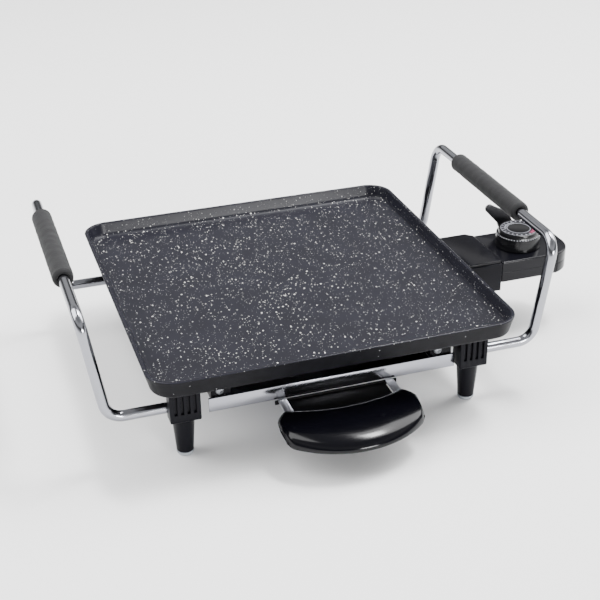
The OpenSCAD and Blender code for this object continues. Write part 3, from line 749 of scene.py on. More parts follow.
MATERIAL_MAKERS = {
    "coating": stone_effect_coating,
    # dark casting paint, also painted shade on the plate's outer walls
    "casting": casting_paint_and_painted_shade,
    "chrome": chrome_plate,
    # bright annealed tinplate: soft mirror with rolling lines
    "tray_sheet": lambda: sheet_metal("bright_tinplate", (*settings("griddle_metal").sheet, 1), 0.1, 0.22),
    # mill-finish aluminium strip: brighter and more diffuse
    "strip": lambda: sheet_metal("mill_finish_aluminium", srgb("d6d7d9"), 0.28, 0.42),
    # enamelled steel of the rails: black, half gloss, so that its folds show as thin light lines
    "rail": lambda: moulded_plastic("black_enamelled_steel", srgb("0d0d10"), 0.22, 0.34, 1.5, 0.05),
    # zinc-plated screws: dull grey with a slight blur
    "zinc": lambda: sheet_metal("zinc_plate", srgb("85878b"), 0.3, 0.45),
    # oxidised incoloy sheath of the heater: dark, warm grey metal
    "sheath": lambda: sheet_metal("oxidised_incoloy", srgb("4a4743"), 0.42, 0.6),
    # ground steel of the pins, probe, spring and spindle: bright, with fine lines
    "steel": lambda: sheet_metal("ground_steel", srgb("b9babc"), 0.18, 0.32),
    # tinned brass of the plug's contacts: warm and slightly dull
    "brass": lambda: sheet_metal("tinned_brass", srgb("c2a35c"), 0.25, 0.4),
    # phenolic moulding, heat proof: satin black
    "phenolic": lambda: moulded_plastic(
        "phenolic_moulding", (*settings("griddle_plastic").moulded, 1), 0.28, 0.38, 0.7, 0.1
    ),
    # ABS case: smoother than the phenolic, near black
    "case": lambda: moulded_plastic(
        "abs_case", (*settings("griddle_plastic").moulded, 1), 0.15, 0.22, 0.9, 0.04, ior=1.28
    ),
    # polished phenolic of the tray's handle: wet-looking black
    "gloss": lambda: moulded_plastic(
        "polished_phenolic", (*settings("griddle_plastic").gloss, 1), 0.12, 0.17, 3.0, 0.015, ior=1.3
    ),
    # lever in glass-filled nylon: dark grey with a soft gloss
    "lever": lambda: moulded_plastic("lever_nylon", srgb("19191d"), 0.32, 0.42, 0.8, 0.06, ior=1.42),
    # knob in polished ABS: black, with narrow highlights
    "knob": lambda: moulded_plastic("polished_abs", srgb("101012"), 0.16, 0.24, 1.2, 0.03, ior=1.34),
    # dark painted sheet of the chute
    "black_sheet": lambda: moulded_plastic("heat_proof_black_paint", srgb("0c0c0d"), 0.45, 0.6, 0.8, 0.2),
    # unglazed steatite of the terminal bushings
    "ceramic": lambda: moulded_plastic("steatite_ceramic", srgb("d8d2c2"), 0.5, 0.65, 0.8, 0.1),
    "foam": foam_rubber,
    "scale": printed_scale,
    # raised beads in light grey, a painted highlight for the glints on the shoulder's ridges
    "bead": lambda: moulded_plastic("painted_beads", srgb("9fa0a6"), 0.35, 0.5, 0.5, 0.05),
    "tip": foot_tip_rubber,
}
materials = {}


def finish(name):
    """The named finish, made on first use."""
    if name not in materials:
        materials[name] = MATERIAL_MAKERS[name]()
    return materials[name]


# ---------------------------------------------------------------- the plate

PLATE_CORNER_R = 22.0
PLATE_UNDER = -4.0
RIM_LAND = 3.0
RIM_ROUND = 1.6
SLOT_HALF, SLOT_R, SLOT_Y = 27.5, 2.5, -131.0
SLOT_END_STEPS = 8
FOOT_X, FOOT_Y = 120.0, 114.4
POST_AT = 50.0
RAIL_BOSS_X, RAIL_BOSS_Y = 91.0, 111.5
HEATER_SEAT_OUTER, HEATER_SEAT_INNER = 89.0, 81.0
PROBE_PAD_X = 111.0


def square_corners(half_x, half_y, radius, centre=(0.0, 0.0)):
    """Corners of a rounded rectangle, counter-clockwise."""
    cx, cy = centre
    signs = ((1, -1), (1, 1), (-1, 1), (-1, -1))
    return [(cx + sx * half_x, cy + sy * half_y, radius) for sx, sy in signs]


def arc(centre, radius, start, end, steps):
    """(x, y) points of an arc given in degrees."""
    points = []
    for step in range(steps + 1):
        a = math.radians(start + (end - start) * step / steps)
        points.append((centre[0] + radius * math.cos(a), centre[1] + radius * math.sin(a)))
    return points


def slot_loop(z):
    """Round-ended outline of the drain slot."""
    right = arc((SLOT_HALF, SLOT_Y), SLOT_R, -90, 90, SLOT_END_STEPS)
    left = arc((-SLOT_HALF, SLOT_Y), SLOT_R, 90, 270, SLOT_END_STEPS)
    return [(x, y, z) for x, y in right + left]


def outside_rim(point, half, rim):
    """Whether a point of the wall lies on its outer side, below the rim's rounding."""
    out_x, out_y = abs(point.x) - (half - PLATE_CORNER_R), abs(point.y) - (half - PLATE_CORNER_R)
    reach = math.hypot(max(out_x, 0), max(out_y, 0)) if min(out_x, out_y) > 0 else max(out_x, out_y)
    return reach > PLATE_CORNER_R - RIM_LAND - 0.4 and point.z < rim - RIM_ROUND


def build_plate():
    """Cast plate with a rolled rim, filleted wall and drain slot."""
    _, high = box_mm("griddle_plate")
    half, rim, under = high.x, high.z, PLATE_UNDER
    corners = square_corners(half, half, PLATE_CORNER_R)
    skirt = arc((7.2, under + 4.0), 4.0, 270, 187, 6)
    outer = [(0.35, rim - RIM_ROUND)] + arc((1.05, rim - 0.95), 1.05, 180, 90, 5)[1:]
    inner = arc((RIM_LAND - 0.7, rim - 0.9), 0.9, 90, 15, 5)
    fillet = arc((10.6, 5.0), 5.0, 198.4, 270, 10)
    stations = [(12.0, under)] + skirt + outer + inner + fillet
    bm = bmesh.new()
    loops = [[(p.x, p.y, z) for p in rounded_outline(corners, inset, 14)] for inset, z in stations]
    rows = skin(bm, loops, close_low=False, close_high=False)
    slots = skin(bm, [slot_loop(0.0), slot_loop(under)], close_low=False, close_high=False)
    fill_between(bm, rows[-1], slots[0])
    fill_between(bm, rows[0], slots[1])
    tidy(bm)
    piece = mesh_from("cast_plate", bm, finish("coating"), 40)
    piece.data.materials.append(finish("casting"))
    # outer walls and underside take the darker casting paint, which is also painted shade on the outer
    # walls
    for face in piece.data.polygons:
        if face.normal.z < -0.1 or outside_rim(face.center / MM, half, rim):
            face.material_index = 1
    return place(piece, "griddle", "nonstick_coating", "griddle_plate")


def build_castings():
    """Bosses, posts and the heater's seat cast under the plate."""
    bm = bmesh.new()
    under = PLATE_UNDER
    for sx in (-1, 1):
        for sy in (-1, 1):
            boss = [(0, -14), (6.4, -14), (7, -13.4), (7, under), (0, under)]
            post = [(0, -15), (4.1, -15), (4.5, -14.6), (5.4, under), (0, under)]
            lathe(bm, boss, (sx * FOOT_X, sy * FOOT_Y, 0), steps=32)
            lathe(bm, post, (sx * POST_AT, sy * POST_AT, 0), steps=24)
            moulding(
                bm,
                square_corners(6, 5.5, 1.0, (sx * RAIL_BOSS_X, sy * RAIL_BOSS_Y)),
                [(0.6, -25.5), (0, -24.9), (-0.6, under)],
                2,
            )
    outer = square_corners(HEATER_SEAT_OUTER, HEATER_SEAT_OUTER, 16)
    inner = square_corners(HEATER_SEAT_INNER, HEATER_SEAT_INNER, 8)
    for corners, out in ((outer, True), (inner, False)):
        loops = [
            [(p.x, p.y, z) for p in rounded_outline(corners, inset if out else -inset, 8)]
            for inset, z in ((0.0, under), (0.4, -6.8), (0.8, -7.15))
        ]
        rows = skin(bm, loops, close_low=False, close_high=False)
        if out:
            outside = rows
        else:
            fill_between(bm, outside[0], rows[0])
            fill_between(bm, outside[-1], rows[-1])
    pad = square_corners(7, 1.5, 0.4, (PROBE_PAD_X, 0))
    moulding(bm, pad, [(0.2, -6.2), (0, -6.0), (0, under)], 2)
    tidy(bm)
    piece = mesh_from("plate_castings", bm, finish("casting"), 35)
    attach(piece, "griddle")
    return piece


# ---------------------------------------------------------------- handles

LEG_Z = -30.0
WIRE_R = 4.35
WIRE_END_X = 124.3
HANDLE_X = 178.0
HANDLE_Z = 58.5
HANDLE_LEAN = math.radians(8.7)
BEND_R = 15.0
BEND_STEPS = 14
GRIP_END_R = 3.2


def handle_path(side):
    """Centre line of one handle wire, from the front foot over the top to the rear foot."""
    turn = math.pi / 2 - HANDLE_LEAN
    tangent = BEND_R * math.tan(turn / 2)
    rise = (HANDLE_Z - LEG_Z) / math.cos(HANDLE_LEAN)
    straight_steps = 6
    half = [(WIRE_END_X, LEG_Z)]
    for step in range(BEND_STEPS + 1):
        a = -math.pi / 2 + turn * step / BEND_STEPS
        half.append((HANDLE_X - tangent + BEND_R * math.cos(a), LEG_Z + BEND_R + BEND_R * math.sin(a)))
    front = [Vector((x, -FOOT_Y, z)) for x, z in half]
    up = Vector((math.sin(HANDLE_LEAN), 0, math.cos(HANDLE_LEAN)))
    corner = Vector((HANDLE_X, -FOOT_Y, LEG_Z))
    for step in range(1, straight_steps):
        front.append(corner + up * (tangent + (rise - BEND_R - tangent) * step / straight_steps))
    centre = corner + up * (rise - BEND_R) + Vector((0, BEND_R, 0))
    for step in range(BEND_STEPS + 1):
        a = math.pi / 2 * step / BEND_STEPS
        front.append(centre + Vector((0, -math.cos(a) * BEND_R, 0)) + up * math.sin(a) * BEND_R)
    rear = [Vector((p.x, -p.y, p.z)) for p in reversed(front)]
    return [(side * p.x, p.y, p.z) for p in front + rear]


def build_handles():
    """Both handle wires."""
    tree = wire_tree()
    sides = settings("griddle_metal").wire_sides
    for name, side in (("left", -1), ("right", 1)):
        piece = grown(
            f"{name}_handle_rod",
            path_mesh(f"{name}_handle_path", handle_path(side)),
            tree,
            Radius=WIRE_R * MM,
            Sides=sides,
            Material=finish("chrome"),
        )
        place(piece, "griddle", "chromed_wire", f"{name}_handle_wire")


def build_grips():
    """Foam sleeves: slightly barrelled, soft-edged, with a low lumpy surface."""
    around, along, end_r = 72, 120, GRIP_END_R
    bore = WIRE_R + 0.05
    for name in ("left", "right"):
        low, high = box_mm(f"{name}_grip")
        x, z = (low.x + high.x) / 2, (low.z + high.z) / 2
        radius = (high.x - low.x) / 2 - 0.12
        span = high.y - low.y
        profile = [(bore, 0.9), (bore + 0.5, 0.3)]
        profile += [(radius - end_r + r, s) for r, s in arc((0, end_r), end_r, 270, 360, 8)]
        profile += [(radius, end_r + (span - 2 * end_r) * k / along) for k in range(1, along)]
        profile += [(radius - end_r + r, span - end_r + s) for r, s in arc((0, 0), end_r, 0, 90, 8)]
        profile += [(bore + 0.5, span - 0.3), (bore, span - 0.9)]
        bm = bmesh.new()
        rows = lathe(bm, profile, (x, low.y, z), "Y", around)
        count = len(rows[0])
        for i in range(count):
            j = (i + 1) % count
            bm.faces.new((rows[-1][i], rows[-1][j], rows[0][j], rows[0][i]))
        tidy(bm)
        for vert in bm.verts:
            place_mm = vert.co / MM
            axis = Vector((x, place_mm.y, z))
            out = place_mm - axis
            if out.length > bore + 1:
                lump = noise.noise(place_mm * 0.16) * 0.22 + noise.noise(place_mm * 0.9) * 0.07
                vert.co = (axis + out * (1 + (lump - 0.12) / out.length)) * MM
        piece = mesh_from(f"{name}_foam_sleeve", bm, finish("foam"), 60)
        place(piece, "griddle", "grip_foam", f"{name}_grip")


# ---------------------------------------------------------------- feet

FOOT_PITCH = 5.0
FOOT_GROOVE = 2.4
FOOT_GROOVE_DEPTH = 2.2
FOOT_FRONT = 11.6
FOOT_R = 12.25
BLOCK_TOP, GROOVE_END, BLOCK_BOTTOM = -4.05, -31.6, -39.0
LEG_BOTTOM = -70.5
TIP_BOTTOM = -74.2


def foot_corners(depth):
    """Plan of a foot block, ribbed face towards -Y; depth is that of its four grooves."""
    corners = [(FOOT_R, -FOOT_FRONT, 1.0), (FOOT_R, FOOT_R, FOOT_R - 0.01)]
    corners += [(-FOOT_R, FOOT_R, FOOT_R - 0.01), (-FOOT_R, -FOOT_FRONT, 1.0)]
    for k in (-1.5, -0.5, 0.5, 1.5):
        left, right = k * FOOT_PITCH - FOOT_GROOVE / 2, k * FOOT_PITCH + FOOT_GROOVE / 2
        lip, root = 0.3, 0.25
        corners += [
            (left, -FOOT_FRONT, lip),
            (left + 0.12, -FOOT_FRONT + depth, root),
            (right - 0.12, -FOOT_FRONT + depth, root),
            (right, -FOOT_FRONT, lip),
        ]
    return corners


def foot_moulding(name, side, end):
    """One foot: its grooved block, mirrored at the rear so that the grooves face outwards, and leg."""
    bm = bmesh.new()
    rounded = round_edges(BLOCK_BOTTOM, GROOVE_END, 1.0, 0.0, 3)[:4]
    stations = [(0.05, inset, z) for inset, z in rounded]
    stations += [(0.05, 0.0, GROOVE_END - 0.5), (FOOT_GROOVE_DEPTH, 0.0, GROOVE_END)]
    stations += [(FOOT_GROOVE_DEPTH, 0.0, BLOCK_TOP - 0.55), (FOOT_GROOVE_DEPTH, 0.5, BLOCK_TOP)]
    loops = [
        [(p.x, p.y, z) for p in rounded_outline(foot_corners(depth), inset, 4)]
        for depth, inset, z in stations
    ]
    skin(bm, loops)
    leg = [(0, LEG_BOTTOM), (6.2, LEG_BOTTOM), (6.75, LEG_BOTTOM + 0.5), (8.86, BLOCK_BOTTOM - 2)]
    leg += [(9.6, BLOCK_BOTTOM - 0.4), (10.4, BLOCK_BOTTOM + 0.1), (0, BLOCK_BOTTOM + 0.1)]
    lathe(bm, leg, (0, 0, 0), steps=48)
    for vert in bm.verts:
        y = vert.co.y if end < 0 else -vert.co.y
        vert.co = Vector((side * FOOT_X * MM + vert.co.x, end * FOOT_Y * MM + y, vert.co.z))
    tidy(bm)
    piece = mesh_from(f"{name}_foot_moulding", bm, finish("phenolic"), 30)
    place(piece, "griddle", "phenolic", f"{name}_foot")


def rubber_tip(name, side, end):
    """The tip pressed on one leg, rounded where it stands."""
    bm = bmesh.new()
    profile = [(0, TIP_BOTTOM)] + arc((3.7, TIP_BOTTOM + 3.2), 3.2, 270, 360, 6)
    profile += [(6.9, LEG_BOTTOM - 0.1), (6.5, LEG_BOTTOM + 0.05), (0, LEG_BOTTOM + 0.1)]
    lathe(bm, profile, (side * FOOT_X, end * FOOT_Y, 0), steps=48)
    tidy(bm)
    piece = mesh_from(f"{name}_rubber_tip", bm, finish("tip"), 50)
    place(piece, "griddle", "foot_rubber", f"{name}_tip")


def build_feet():
    """Ribbed foot blocks with their legs, and the rubber tips."""
    for end_name, end in (("front", -1), ("rear", 1)):
        for side_name, side in (("left", -1), ("right", 1)):
            foot_moulding(f"{end_name}_{side_name}", side, end)
            rubber_tip(f"{end_name}_{side_name}", side, end)


# ---------------------------------------------------------------- tray handle

GRIP_X = 3.0
ARC_Y = -117.0
ARC_R = 77.0
BACK_Y = -18.0
BACK_R = 130.0
HANDLE_TOP = -36.5
HANDLE_BOTTOM = -50.0
HANDLE_BACK_HALF, HANDLE_FRONT_HALF, HANDLE_MID_HALF = 50.0, 55.9, 56.0


def handle_section():
    """(share from back to front, z) points round the handle's section, over the top first."""
    top, bottom = HANDLE_TOP, HANDLE_BOTTOM
    return [
        (0.035, bottom + 4.6),
        (0.0, bottom + 5.2),
        (0.0, top - 1.3),
        (0.012, top - 0.45),
        (0.04, top - 0.08),
        (0.09, top),
        (0.2, top - 0.15),
        (0.33, top - 0.45),
        (0.46, top - 0.95),
        (0.58, top - 1.6),
        (0.68, top - 2.35),
        (0.77, top - 3.3),
        (0.85, top - 4.55),
        (0.91, top - 5.95),
        (0.955, top - 7.6),
        (0.985, top - 9.5),
        (1.0, top - 11.5),
        (0.997, top - 12.5),
        (0.98, bottom + 0.2),
        (0.95, bottom),
        (0.8, bottom + 0.1),
        (0.5, bottom + 1.7),
        (0.25, bottom + 3.3),
    ]


def handle_half_width(share):
    """Half of the handle's width from its back (0) to its front (1)."""
    stops = ((0.0, HANDLE_BACK_HALF), (0.12, 53.6), (0.27, 57.0), (0.36, 57.5), (0.6, 57.0))
    stops += ((1.0, HANDLE_FRONT_HALF),)
    for (s0, w0), (s1, w1) in zip(stops, stops[1:]):
        if share <= s1:
            t = (share - s0) / (s1 - s0)
            return w0 + (w1 - w0) * t
    return stops[-1][1]


def pushed_in(points, distance):
    """A closed (y, z) line moved inwards by a distance."""
    count = len(points)
    moved = []
    for i in range(count):
        along = (points[(i + 1) % count] - points[i - 1]).normalized()
        moved.append(points[i] + Vector((-along.y, along.x)) * distance)
    return moved


def build_tray_handle():
    """Glossy moulded handle whose front follows an arc and whose back edge is bowed."""
    across, end_round = 96, 4.2
    share_line = handle_section()
    loops = []
    for step in range(across + 1):
        u = math.sin(math.pi * (step / across - 0.5))
        from_end = (1 - abs(u)) * HANDLE_MID_HALF
        inset = 0.0
        if from_end < end_round:
            inset = end_round - math.sqrt(end_round**2 - (end_round - from_end) ** 2)
        back_x, front_x = HANDLE_BACK_HALF * u, HANDLE_FRONT_HALF * u
        back_y = BACK_Y - math.sqrt(BACK_R**2 - back_x * back_x)
        front_y = ARC_Y - math.sqrt(ARC_R**2 - front_x * front_x)
        section = [Vector((back_y + (front_y - back_y) * share, z)) for share, z in share_line]
        section = pushed_in(section, min(inset, 3.6))
        loop = []
        for (share, _), point in zip(share_line, section):
            loop.append((GRIP_X + u * handle_half_width(share), point.x, point.y))
        loops.append(loop)
    bm = bmesh.new()
    skin(bm, loops)
    tidy(bm)
    shell_faces = len(bm.faces)
    web = square_corners(41, 15.7, 1.0, (GRIP_X, -136.3))
    flange = square_corners(51, 0.7, 0.3, (GRIP_X, -121.3))
    moulding(bm, web, round_edges(-44, -39.7, 0.6, 0.4, 2), 2)
    moulding(bm, flange, round_edges(-41.7, -38.1, 0.2, 0.2, 2), 2)
    piece = mesh_from("tray_handle_moulding", bm, finish("gloss"), 42)
    piece.data.materials.append(finish("black_sheet"))
    for face in piece.data.polygons[shell_faces:]:
        face.material_index = 1
    return place(piece, "tray", "gloss_moulding", "tray_handle")


# ---------------------------------------------------------------- controller

CASE_X0, CASE_X1 = 192.0, 265.0
CASE_HALF = 30.0
CASE_END_R = 24.0
CASE_TOP, CASE_SPLIT, CASE_BOTTOM = -0.7, -11.0, -21.0
CASE_WALL = 2.2
CASE_GROOVE = (244.0, 248.0, 0.7)
CASE_POSTS = ((208, 23), (208, -23), (246, 17), (246, -17))


def case_outline(inset, z):
    """Plan of the case: nearly square towards the socket, well rounded at the cord's end, grooved."""
    low, high, depth = CASE_GROOVE
    corner = 1.6
    centre_x = CASE_X1 - CASE_END_R
    points = []
    for side in (-1, 1):
        middle = (centre_x, side * (CASE_HALF - CASE_END_R))
        turn = arc(middle, CASE_END_R - inset, -90, 0, 40)
        turn = [(x, y - middle[1]) for x, y in turn]
        pressed = []
        for x, y in turn:
            inside = low - inset < x < high - inset
            keep = 1 - depth / (CASE_END_R - inset) if inside and inset < CASE_WALL else 1
            pressed.append((middle[0] + (x - middle[0]) * keep, middle[1] + y * keep))
        start = [
            (CASE_X0 + inset + corner * (1 - math.cos(a)), -CASE_HALF + inset + corner * (1 - math.sin(a)))
            for a in [math.pi / 2 * k / 4 for k in range(5)]
        ]
        if side < 0:
            points += start + pressed
        else:
            flipped = [(x, 2 * middle[1] - y) for x, y in pressed]
            points += list(reversed(flipped)) + [(x, -y) for x, y in reversed(start)]
    return [(x, y, z) for x, y in points]


def ring_at(centre, radius, z, steps=32):
    """A circle of points, counter-clockwise."""
    turns = [2 * math.pi * k / steps for k in range(steps)]
    return [(centre[0] + radius * math.cos(a), centre[1] + radius * math.sin(a), z) for a in turns]


def half_case(name, node, split, outer_stations, face_z, inner_z, holes):
    """One hollow half of the case: an open cup with holes through its closed face."""
    bm = bmesh.new()
    outside = skin(bm, [case_outline(i, z) for i, z in outer_stations], False, False)
    inside = skin(bm, [case_outline(CASE_WALL, split), case_outline(CASE_WALL, inner_z)], False, False)
    fill_between(bm, outside[0], inside[0])
    through = [
        skin(bm, [ring_at(centre, radius, face_z), ring_at(centre, radius, depth_z)], False, False)
        for centre, radius, depth_z in holes
    ]
    fill_between(bm, outside[-1], *[rows[0] for rows in through])
    for rows, (_, _, depth_z) in zip(through, holes):
        if depth_z != inner_z:
            bm.faces.new(rows[1])
    fill_between(bm, inside[1], *[rows[1] for rows, hole in zip(through, holes) if hole[2] == inner_z])
    tidy(bm)
    piece = mesh_from(name, bm, finish("case"), 35)
    return place(piece, "controller", "case_plastic", node)


def build_controller():
    """Upper and lower case shells with softened edges."""
    rounded = round_edges(CASE_SPLIT, CASE_TOP, 0.3, 1.5, 6)
    half_case(
        "controller_upper_case",
        "controller_cover",
        CASE_SPLIT,
        rounded,
        CASE_TOP,
        CASE_TOP - CASE_WALL,
        [((KNOB_X, 0), 3.5, CASE_TOP - CASE_WALL)],
    )
    turned = round_edges(CASE_BOTTOM, CASE_SPLIT, 0.3, 2.0, 6)
    lower = [(inset, CASE_SPLIT + CASE_BOTTOM - z) for inset, z in turned]
    half_case(
        "controller_lower_case",
        "controller_base",
        CASE_SPLIT,
        lower,
        CASE_BOTTOM,
        CASE_BOTTOM + 2.0,
        [(post, 3.1, CASE_BOTTOM + 1.95) for post in CASE_POSTS],
    )


def build_socket():
    """Socket box and its raised blank lid."""
    piece = refined_copy("socket_housing", "socket_box", finish("phenolic"), 0.6, 3)
    place(piece, "griddle", "phenolic", "socket_housing")
    low, high = box_mm("socket_lid")
    bm = bmesh.new()
    corners = [
        (low.x, low.y, 0.8),
        (high.x, low.y, 0.8),
        (high.x, high.y - 6.0, 1.0),
        (high.x - 6.0, high.y, 1.0),
        (low.x, high.y, 0.8),
    ]
    moulding(bm, corners, round_edges(low.z, high.z, 0.1, 0.7, 4), 5)
    tidy(bm)
    piece = mesh_from("socket_cover", bm, finish("case"), 35)
    place(piece, "griddle", "phenolic", "socket_lid")


# ---------------------------------------------------------------- knob

BEAD_RING_R, BEAD_Z = 19.35, 11.3


def build_knob():
    """Temperature knob: skirt, cap with a sunk top, printed ring, and beads on the shoulder."""
    low, high = box_mm("control_knob")
    centre = (KNOB_X, 0.0, 0.0)
    skirt, cap, bore = (high.x - low.x) / 2, 18.25, 3.05
    bm = bmesh.new()
    profile = [
        (0.0, 10.0),
        (bore, 10.0),
        (bore, 1.7),
        (18.0, 1.7),
        (18.2, -0.25),
        (20.0, -0.25),
        (skirt, 0.1),
        (skirt - 0.35, 10.6),
        (skirt - 0.6, 11.4),
        (skirt - 1.1, 11.9),
        (cap + 0.45, 12.05),
        (cap + 0.1, 12.25),
        (cap, 12.6),
        (cap - 0.15, 14.4),
        (cap - 0.5, 15.15),
        (cap - 1.1, 15.45),
        (cap - 1.6, 15.5),
        (16.5, 15.35),
        (16.3, 15.0),
        (10.2, 14.95),
        (10.0, 15.25),
        (9.7, 15.3),
        (9.2, 15.2),
        (0.0, 15.15),
    ]
    lathe(bm, profile, centre, steps=128)
    tidy(bm)
    piece = mesh_from("dial_knob", bm, finish("knob"), 35)
    place(piece, "knob", "knob_plastic", "control_knob")
    bm = bmesh.new()
    ring_in, ring_out, seat, face = 9.85, 16.3, 15.0, 15.28
    ring = [(ring_in, seat), (ring_in, face - 0.06), (ring_in + 0.1, face)]
    ring += [(ring_out - 0.1, face), (ring_out, face - 0.06), (ring_out, seat), (ring_in, seat)]
    lathe(bm, ring, centre, steps=128)
    tidy(bm)
    piece = mesh_from("printed_ring", bm, finish("scale"), 35)
    place(piece, "knob", "dial_print", "dial_scale")
    build_beads()


def build_beads():
    """Beads standing round the knob's shoulder, their light grey a painted highlight."""
    bm = bmesh.new()
    bead_shape = [(0.0, -0.5), (0.62, -0.5), (0.6, 0.0), (0.5, 0.25), (0.3, 0.42), (0.0, 0.48)]
    lathe(bm, bead_shape, (0, 0, 0), steps=12)
    tidy(bm)
    bead = mesh_from("one_bead", bm, finish("bead"), 60)
    count = settings("griddle_dial").bead_count
    places = []
    for k in range(count):
        a = 2 * math.pi * k / count
        out = Vector((math.cos(a), math.sin(a), 0))
        facing = (out + Vector((0, 0, 0.7))).normalized()
        places.append((Vector((KNOB_X, 0, BEAD_Z)) + out * BEAD_RING_R, facing))
    piece = grown(
        "shoulder_beads",
        points_mesh("bead_places", places),
        copies_tree(),
        Copied=bead,
        Material=finish("bead"),
    )
    bpy.data.objects.remove(bead)
    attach(piece, "knob")


# ---------------------------------------------------------------- everything else

SCREW_RECESS = 0.55
SCREW_HEAD_SHARE = 0.65
SCREW_FIT = 0.02


def screw_mesh(head_radius, shank_radius, length, material):
    """Pan-head screw, its bearing face at the origin and its shank along +Z, with a cross recess."""
    head_height = SCREW_HEAD_SHARE * head_radius
    bm = bmesh.new()
    profile = [(0.0, -head_height)]
    profile += [
        (head_radius * math.sin(a), -head_height * (0.25 + 0.75 * math.cos(a)))
        for a in [math.radians(12 * k) for k in range(1, 8)]
    ]
    profile += [(head_radius, -0.05), (head_radius - 0.08, 0.0), (shank_radius, 0.0)]
    profile += [(shank_radius, length - shank_radius), (0.25 * shank_radius, length), (0.0, length)]
    lathe(bm, profile, (0, 0, 0), steps=40)
    tidy(bm)
    screw = mesh_from("one_screw", bm, material, 30)
    arm = 0.5 * head_radius
    bm = bmesh.new()
    bar = [(0.0, -head_height - 1), (0.0, -head_height * (1 - SCREW_RECESS))]
    for long_x in (True, False):
        half_x, half_y = (arm, 0.14 * head_radius) if long_x else (0.14 * head_radius, arm)
        moulding(bm, square_corners(half_x, half_y, 0.05), bar, 2)
    tidy(bm, 0.0005)
    cutter = mesh_from("cross_cutter", bm, material)
    cutting = screw.modifiers.new("recess", "BOOLEAN")
    cutting.operation = "DIFFERENCE"
    cutting.object = cutter
    cutting.solver = "EXACT"
    cutting.use_self = True
    bake_modifiers(screw)
    bpy.data.objects.remove(cutter)
    return screw


def islands(node):
    """Boxes in millimetres round each separate solid of a CAD node."""
    bm = bmesh.new()
    bm.from_mesh(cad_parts[node].data)
    bmesh.ops.remove_doubles(bm, verts=bm.verts, dist=MERGE_MM * MM)
    left = set(bm.verts)
    boxes = []
    while left:
        group, waiting = set(), [left.pop()]
        while waiting:
            vert = waiting.pop()
            group.add(vert)
            for edge in vert.link_edges:
                other = edge.other_vert(vert)
                if other in left:
                    left.discard(other)
                    waiting.append(other)
        low = Vector([min(v.co[i] for v in group) for i in range(3)]) / MM
        high = Vector([max(v.co[i] for v in group) for i in range(3)]) / MM
        boxes.append((low, high))
    bm.free()
    return boxes


SCREW_SETS = {
    # node: (piece name, body, shank radius)
    "chute_screws": ("chute_screw_set", "griddle", 1.2),
    "clamp_screws": ("clamp_screw_set", "griddle", 1.2),
    "reflector_screws": ("reflector_screw_set", "griddle", 1.5),
    "rail_screws": ("rail_screw_set", "griddle", 1.75),
    "socket_screws": ("socket_screw_set", "griddle", 1.5),
    "foot_screws": ("foot_screw_set", "griddle", 2.0),
    "bracket_screws": ("bracket_screw_set", "tray", 1.5),
    "case_screws": ("case_screw_set", "controller", 1.2),
}


def build_screws():
    """Every set of screws, one screw copied to the places of its CAD solids."""
    tree = copies_tree()
    for node, (name, body, shank) in SCREW_SETS.items():
        boxes = islands(node)
        head_radius = 2 * shank
        head_height = SCREW_HEAD_SHARE * head_radius
        along_y = (boxes[0][1] - boxes[0][0]).y > (boxes[0][1] - boxes[0][0]).z
        groups = {}
        for low, high in boxes:
            middle = (low + high) / 2
            span = (high - low).y if along_y else (high - low).z
            facing = Vector((0, 0, 1))
            start = Vector((middle.x, middle.y, low.z))
            if along_y:
                inward = -1 if middle.y > 0 else 1
                facing = Vector((0, inward, 0))
                start = Vector((middle.x, low.y if inward > 0 else high.y, middle.z))
            groups.setdefault(round(span, 1), []).append((start + facing * head_height, facing))
        sets = []
        for span, places in groups.items():
            screw = screw_mesh(
                head_radius - SCREW_FIT,
                shank - SCREW_FIT,
                span - head_height - SCREW_FIT,
                finish("zinc"),
            )
            spots = points_mesh(f"{name}_places", places)
            sets.append(grown(name, spots, tree, Copied=screw, Material=finish("zinc")))
            bpy.data.objects.remove(screw)
        piece = joined(sets)
        place(piece, body, "zinc_screws", node)


def joined(pieces):
    """One object holding the meshes of several that share a finish."""
    if len(pieces) > 1:
        bm = bmesh.new()
        for piece in pieces:
            bm.from_mesh(piece.data)
        bm.to_mesh(pieces[0].data)
        bm.free()
        for piece in pieces[1:]:
            bpy.data.objects.remove(piece)
    return pieces[0]


def build_spring():
    """Return spring of the lever: round wire wound on a short helix."""
    low, high = box_mm("lever_spring")
    wire = 0.38
    radius = (high.x - low.x) / 2 - wire
    middle = (low + high) / 2
    turns, steps = 2, 96
    points = []
    for k in range(steps + 1):
        a = 2 * math.pi * turns * k / steps
        y = low.y + wire + (high.y - low.y - 2 * wire) * k / steps
        points.append((middle.x + radius * math.cos(a), y, middle.z + radius * math.sin(a)))
    piece = grown(
        "lever_return_spring",
        path_mesh("spring_path", points),
        wire_tree(),
        Radius=wire * MM,
        Sides=12,
        Material=finish("steel"),
    )
    place(piece, "controller", "probe_steel", "lever_spring")


LEVER_PIVOT = (231.0, -6.0)
LEVER_Y = (32.0, 35.5)
LEVER_ELBOW = Vector((-7.8, 17.4))
LEVER_REACH = 36.0
LEVER_LEAN = math.radians(37.7)
HUB_R, ELBOW_R, TIP_R, PIVOT_BORE_R = 8.0, 7.0, 4.0, 2.06


